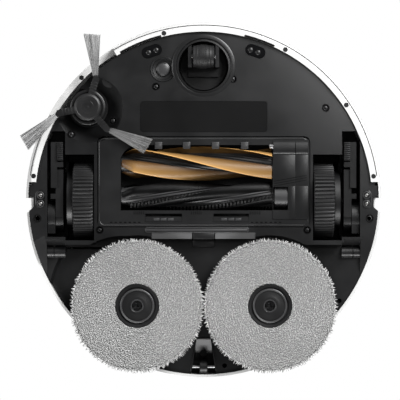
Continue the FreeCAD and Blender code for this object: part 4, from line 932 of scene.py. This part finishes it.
def mop_hub(side):
    """A rim, a ring and a seat with three lugs in the middle of a mop pad."""
    low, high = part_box(f"{side}_mop_plate")
    centre = ((low.x + high.x) / 2, (low.y + high.y) / 2, 0)
    face = 2.0 * MM
    outer = turned(face, (21.4, 3.2), (21.3, 0.2), (20.6, -0.5), (18.6, -0.3), (17.9, 1.3), (16.9, 1.3))
    round_piece(f"{side}_hub_rim", outer, centre, f"{side}_mop", "black_chassis")
    ring = turned(face, (16.9, 1.6), (16.75, -0.5), (16.2, -0.8), (15.3, -0.5), (15.1, 0.7))
    round_piece(f"{side}_hub_ring", ring, centre, f"{side}_mop", "grey_plastic")
    seat = turned(face, (15.1, 0.5), (9.4, 0.3), (8.8, 0.1), (6.6, 0.2), (5.2, 1.4), (4.8, 3.6))
    round_piece(f"{side}_hub_seat", seat, centre, f"{side}_mop", "dark_plastic")
    keys = Soup()
    for n in range(3):
        turn = math.radians(90 + 120 * n)
        spot = Vector(centre) + Vector((math.cos(turn), math.sin(turn), 0)) * 3.4 * MM
        lug = turned(face, (2.3, 3.9), (2.2, 1.2), (1.7, 0.7), (0.01, 0.6))
        keys.grid(lathe_rows(lug, 24, spot), caps=False)
    keys.piece(f"{side}_hub_keys", f"{side}_mop", "black_gloss")


for side in SIDES:
    mop_hub(side)


# -------------------- legs, bumper and rear edge

def leg_ribs(side):
    """Grip ribs across the rubber pad of a climbing leg."""
    low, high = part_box(f"{side}_leg_pad")
    soup = Soup()
    pitch = 1.9 * MM
    count = int((high.y - low.y) / pitch)
    for n in range(count):
        y = low.y + (n + 0.3) * pitch
        block(soup, (low.x + 0.2 * MM, y, low.z - 0.7 * MM),
              (high.x - 0.2 * MM, y + 0.95 * MM, low.z + 0.4 * MM), 0.3 * MM)
    soup.piece(f"{side}_leg_ribs", f"{side}_leg", "rubber")


for side in SIDES:
    leg_ribs(side)


def bumper_details():
    """The air slits under the bumper's lip, drawn as strips of painted shade, and a thin grey line round its
    foot.
    """
    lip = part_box("bumper")[0].z
    slits = Soup()
    level = lip - 0.12 * MM
    for start, end in ((240.5, 255.5), (284.0, 294.7)):
        ring_strip(slits, (165.6 * MM, 167.6 * MM), (level, level), start, end, 0.5 * MM)
    slits.piece("lip_slits", "bumper", "shadow")
    foot_line = Soup()
    for start, end in ((188.0, 209.0), (239.0, 352.0)):
        ring_strip(foot_line, (171.7 * MM, 172.6 * MM), (lip + 1.15 * MM, lip + 2.2 * MM), start, end,
                   0.4 * MM, 120)
    foot_line.piece("lip_foot_line", "bumper", "grey_plastic")


bumper_details()


def contact_rings():
    """A raised oblong rim round each pair of charging contacts, and a ring round each pin."""
    rims = Soup()
    for side in (-1, 1):
        x = 160.6 * MM * side
        low = Vector((x - 4.6 * MM, -9.4 * MM, 0))
        high = Vector((x + 4.6 * MM, 8.2 * MM, 0))
        bead(rims, rounded_path(low, high, 4.5 * MM, 14.35 * MM), 0.55 * MM)
        for y in (-4.8, 3.6):
            ring = turned(0.0, (2.75, 12.6), (3.0, 12.2), (3.7, 12.4), (3.9, 14.6))
            rims.grid(lathe_rows(ring, 28, (x, y * MM, 0)), caps=False)
    rims.piece("contact_rims", "chassis", "grey_plastic")


contact_rings()


def channel_noses():
    """The rounded barrel behind each leg's channel, split by a seam."""
    soup = Soup()
    radius = 5.8
    turns = [math.radians(-90 + 15 * k) for k in range(13)]
    for side in (-1, 1):
        for start, end in ((136.4, 147.2), (147.9, 154.2)):
            soup.grid([[Vector((x * side * MM, (51.6 + radius * math.sin(turn)) * MM,
                                (24.3 - radius * math.cos(turn)) * MM)) for turn in turns]
                       for x in (start, end)])
    soup.piece("channel_noses", "chassis", "black_chassis", angle=35.0)


channel_noses()


def hole_rings():
    """A countersunk ring of painted shade round each plain hole of the rim."""
    soup = Soup()
    rise = turned(0.0, (2.3, 14.8), (2.5, 13.6), (3.6, 13.25), (4.0, 13.9))
    for x, y in RIM_HOLES:
        soup.grid(lathe_rows(rise, 28, (x * MM, y * MM, 0)), caps=False)
    soup.piece("hole_rings", "chassis", "shadow")


hole_rings()


def bay_edge():
    """A chamfer in a lighter grey along the front floor's back edge, a painted highlight for the light it
    catches, and the stepped cover between its halves.
    """
    soup = Soup()
    section = [(32.0, 9.85), (38.2, 11.6), (38.2, 12.6), (32.0, 10.9)]
    for start, end in ((-51.0, -11.4), (11.4, 51.0)):
        soup.grid([[Vector((x * MM, y * MM, z * MM)) for y, z in section] for x in (start, end)])
    soup.piece("bay_edge", "chassis", "edge_grey", angle=30.0)
    cover = Soup()
    block(cover, (-10.6 * MM, 31.4 * MM, 9.6 * MM), (10.6 * MM, 38.6 * MM, 20.0 * MM), 0.8 * MM)
    block(cover, (-10.6 * MM, 39.2 * MM, 21.0 * MM), (10.6 * MM, 46.2 * MM, 25.0 * MM), 0.8 * MM)
    cover.piece("cable_cover", "chassis", "dark_plastic")


bay_edge()


# -------------------- back bay and upper side

def rear_bay_rim():
    """The rounded lip round the bay of the small rear roller."""
    soup = Soup()
    corners = ((-12.6, 169.0), (-7.9, 138.6), (-7.0, 137.2), (7.0, 137.2), (7.9, 138.6), (12.6, 169.0))
    bead(soup, [Vector((x * MM, y * MM, 24.0 * MM)) for x, y in corners], 0.9 * MM, closed=False)
    soup.piece("rear_bay_rim", "chassis", "black_chassis")


rear_bay_rim()


def exhaust_slots():
    """Two rows of short upright slots in the back wall, where the fan's air leaves, drawn as strips of
    painted shade.
    """
    soup = Soup()
    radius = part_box("top_shell")[1].x
    for low, high in ((36.0, 47.0), (50.0, 61.0)):
        for n in range(26):
            turn = math.radians(65.0 + 2.0 * n)
            spot = Vector((radius * math.cos(turn), radius * math.sin(turn), 0))
            block(soup, spot + Vector((-0.4, -1.5, low)) * MM, spot + Vector((0.12, 1.5, high)) * MM,
                  0.1 * MM, turn)
    soup.piece("exhaust_slots", "chassis", "shadow")


exhaust_slots()


def top_details():
    """A groove ring and a hub on the turret's cap, a light ring round the button, and a finger notch."""
    low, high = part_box("lidar_turret")
    turret = ((low.x + high.x) / 2, (low.y + high.y) / 2, 0)
    cap = high.z
    band = turned(cap, (33.2, -0.1), (32.7, 0.3), (30.6, 0.3), (30.1, -0.1))
    round_piece("turret_band", band, turret, "turret", "black_gloss", segments=96)
    hub = turned(cap, (12.0, -0.1), (11.4, 0.25), (4.0, 0.4), (0.01, 0.42))
    round_piece("turret_hub", hub, turret, "turret", "black_chassis")
    low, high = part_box("power_button")
    button = ((low.x + high.x) / 2, (low.y + high.y) / 2, 0)
    ring = turned(high.z, (4.6, -0.1), (4.4, 0.12), (3.6, 0.12), (3.4, -0.1))
    round_piece("button_ring", ring, button, "button", "grey_plastic", segments=48)
    lid_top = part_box("top_lid")[1].z
    notch = Soup()
    block(notch, (-11 * MM, -136.5 * MM, lid_top - 0.4 * MM),
          (11 * MM, -131.5 * MM, lid_top + 0.1 * MM), 0.12 * MM)
    notch.piece("lid_finger_notch", "lid", "grey_plastic")


top_details()


def window_lenses():
    """A camera lens and two line-laser slits behind the bumper's dark window."""
    low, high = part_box("bumper_window")
    middle_z = (low.z + high.z) / 2
    front = low.y
    lens = turned(front, (7.0, 0.6), (6.6, -0.3), (5.4, -0.3), (4.8, 0.1), (3.2, -0.3), (0.01, -0.5))
    round_piece("window_lens", lens, (0, 0, middle_z), "bumper", "black_gloss", "Y", 48)
    slits = Soup()
    radius = -front
    for angle in (248.0, 258.0, 282.0, 292.0):
        turn = math.radians(angle)
        spot = Vector((radius * math.cos(turn), radius * math.sin(turn), middle_z))
        block(slits, spot + Vector((-0.4, -5.0, -3.2)) * MM, spot + Vector((0.25, 5.0, 3.2)) * MM,
              0.15 * MM, turn)
    slits.piece("window_slits", "bumper", "black_gloss")


window_lenses()


# -------------------- floor, light and camera

def floor():
    """A pale floor that only shows from above, so that the underside can be seen and lit from below."""
    half = 3.0
    g = Graph("floor")
    speckle = g.noise(60.0, 4.0, 0.6)
    g.set(Base_Color=g.ramp(speckle, [(0.3, (0.76, 0.76, 0.755)), (0.7, (0.8, 0.8, 0.795))]), Roughness=0.7)
    clear = g.add("ShaderNodeBsdfTransparent")
    mix = g.add("ShaderNodeMixShader")
    side_seen = g.add("ShaderNodeNewGeometry").outputs["Backfacing"]
    g.join(side_seen, mix.inputs["Fac"])
    g.join(g.shader.outputs["BSDF"], mix.inputs[1])
    g.join(clear.outputs["BSDF"], mix.inputs[2])
    g.join(mix.outputs["Shader"], g.tree.nodes["Material Output"].inputs["Surface"])
    mesh = bpy.data.meshes.new("floor")
    corners = [(-half, -half, 0), (half, -half, 0), (half, half, 0), (-half, half, 0)]
    mesh.from_pydata(corners, [], [(0, 1, 2, 3)])
    thing = bpy.data.objects.new("floor", mesh)
    mesh.materials.append(g.material)
    bpy.context.scene.collection.objects.link(thing)
    thing.visible_shadow = False
    thing.visible_diffuse = False
    thing.visible_glossy = False


def area_light(name, place, aim, size, power):
    """A soft white light with a size in metres and a power in watts, which the camera doesn't see."""
    data = bpy.data.lights.new(name, "AREA")
    data.shape = "RECTANGLE"
    data.size, data.size_y = size
    data.energy = power
    thing = bpy.data.objects.new(name, data)
    bpy.context.scene.collection.objects.link(thing)
    thing.location = place
    thing.rotation_euler = (Vector(aim) - Vector(place)).to_track_quat("-Z", "Y").to_euler()
    thing.visible_camera = False


def world():
    """A white surround. As a light it is soft at the sides and dark straight below and above."""
    scene_world = bpy.data.worlds.new("surround")
    scene_world.use_nodes = True
    tree = scene_world.node_tree
    back = tree.nodes["Background"]
    back.inputs["Color"].default_value = (1.0, 1.0, 1.0, 1.0)
    way = tree.nodes.new("ShaderNodeTexCoord")
    split = tree.nodes.new("ShaderNodeSeparateXYZ")
    tree.links.new(way.outputs["Generated"], split.inputs["Vector"])
    steep = tree.nodes.new("ShaderNodeMath")
    steep.operation = "ABSOLUTE"
    tree.links.new(split.outputs["Z"], steep.inputs[0])
    soft = tree.nodes.new("ShaderNodeMapRange")
    for key, number in (("From Min", 0.35), ("From Max", 0.95), ("To Min", SIDE_GLOW), ("To Max", POLE_GLOW)):
        soft.inputs[key].default_value = number
    tree.links.new(steep.outputs["Value"], soft.inputs["Value"])
    path = tree.nodes.new("ShaderNodeLightPath")
    choose = tree.nodes.new("ShaderNodeMix")
    choose.inputs["B"].default_value = 1.0
    tree.links.new(path.outputs["Is Camera Ray"], choose.inputs["Factor"])
    tree.links.new(soft.outputs["Result"], choose.inputs["A"])
    tree.links.new(choose.outputs["Result"], back.inputs["Strength"])
    bpy.context.scene.world = scene_world
    bpy.context.scene.view_settings.view_transform = "Standard"


def camera():
    """Straight below the robot, looking up, with the front at the top of the picture."""
    seen_width = 393.2 * MM
    data = bpy.data.cameras.new("camera")
    data.lens = 200.0
    data.sensor_width = 36.0
    distance = seen_width * data.lens / data.sensor_width
    thing = bpy.data.objects.new("camera", data)
    bpy.context.scene.collection.objects.link(thing)
    thing.location = (-3.5 * MM, 0.0, 10 * MM - distance)
    thing.rotation_euler = (math.pi, 0.0, 0.0)
    data.clip_end = 20.0
    bpy.context.scene.camera = thing


floor()
world()
area_light("key_below", (1.0, -1.15, -1.05), (0, 0, 0), (0.8, 0.8), 54.0)
area_light("gleam_below", (0.74, -0.62, -1.8), (0.05, -0.05, 0), (0.32, 0.6), 5.0)
area_light("fill_below", (-0.2, 1.5, -0.8), (0, 0.05, 0), (1.2, 0.4), 22.0)
area_light("side_below", (-1.5, -0.2, -0.9), (0, 0, 0), (0.5, 1.0), 10.0)
area_light("key_above", (-0.8, -0.7, 1.5), (0, 0, 0.05), (0.9, 0.9), 30.0)
area_light("rim_above", (1.0, 0.9, 1.1), (0, 0, 0.05), (0.7, 0.7), 12.0)
camera()
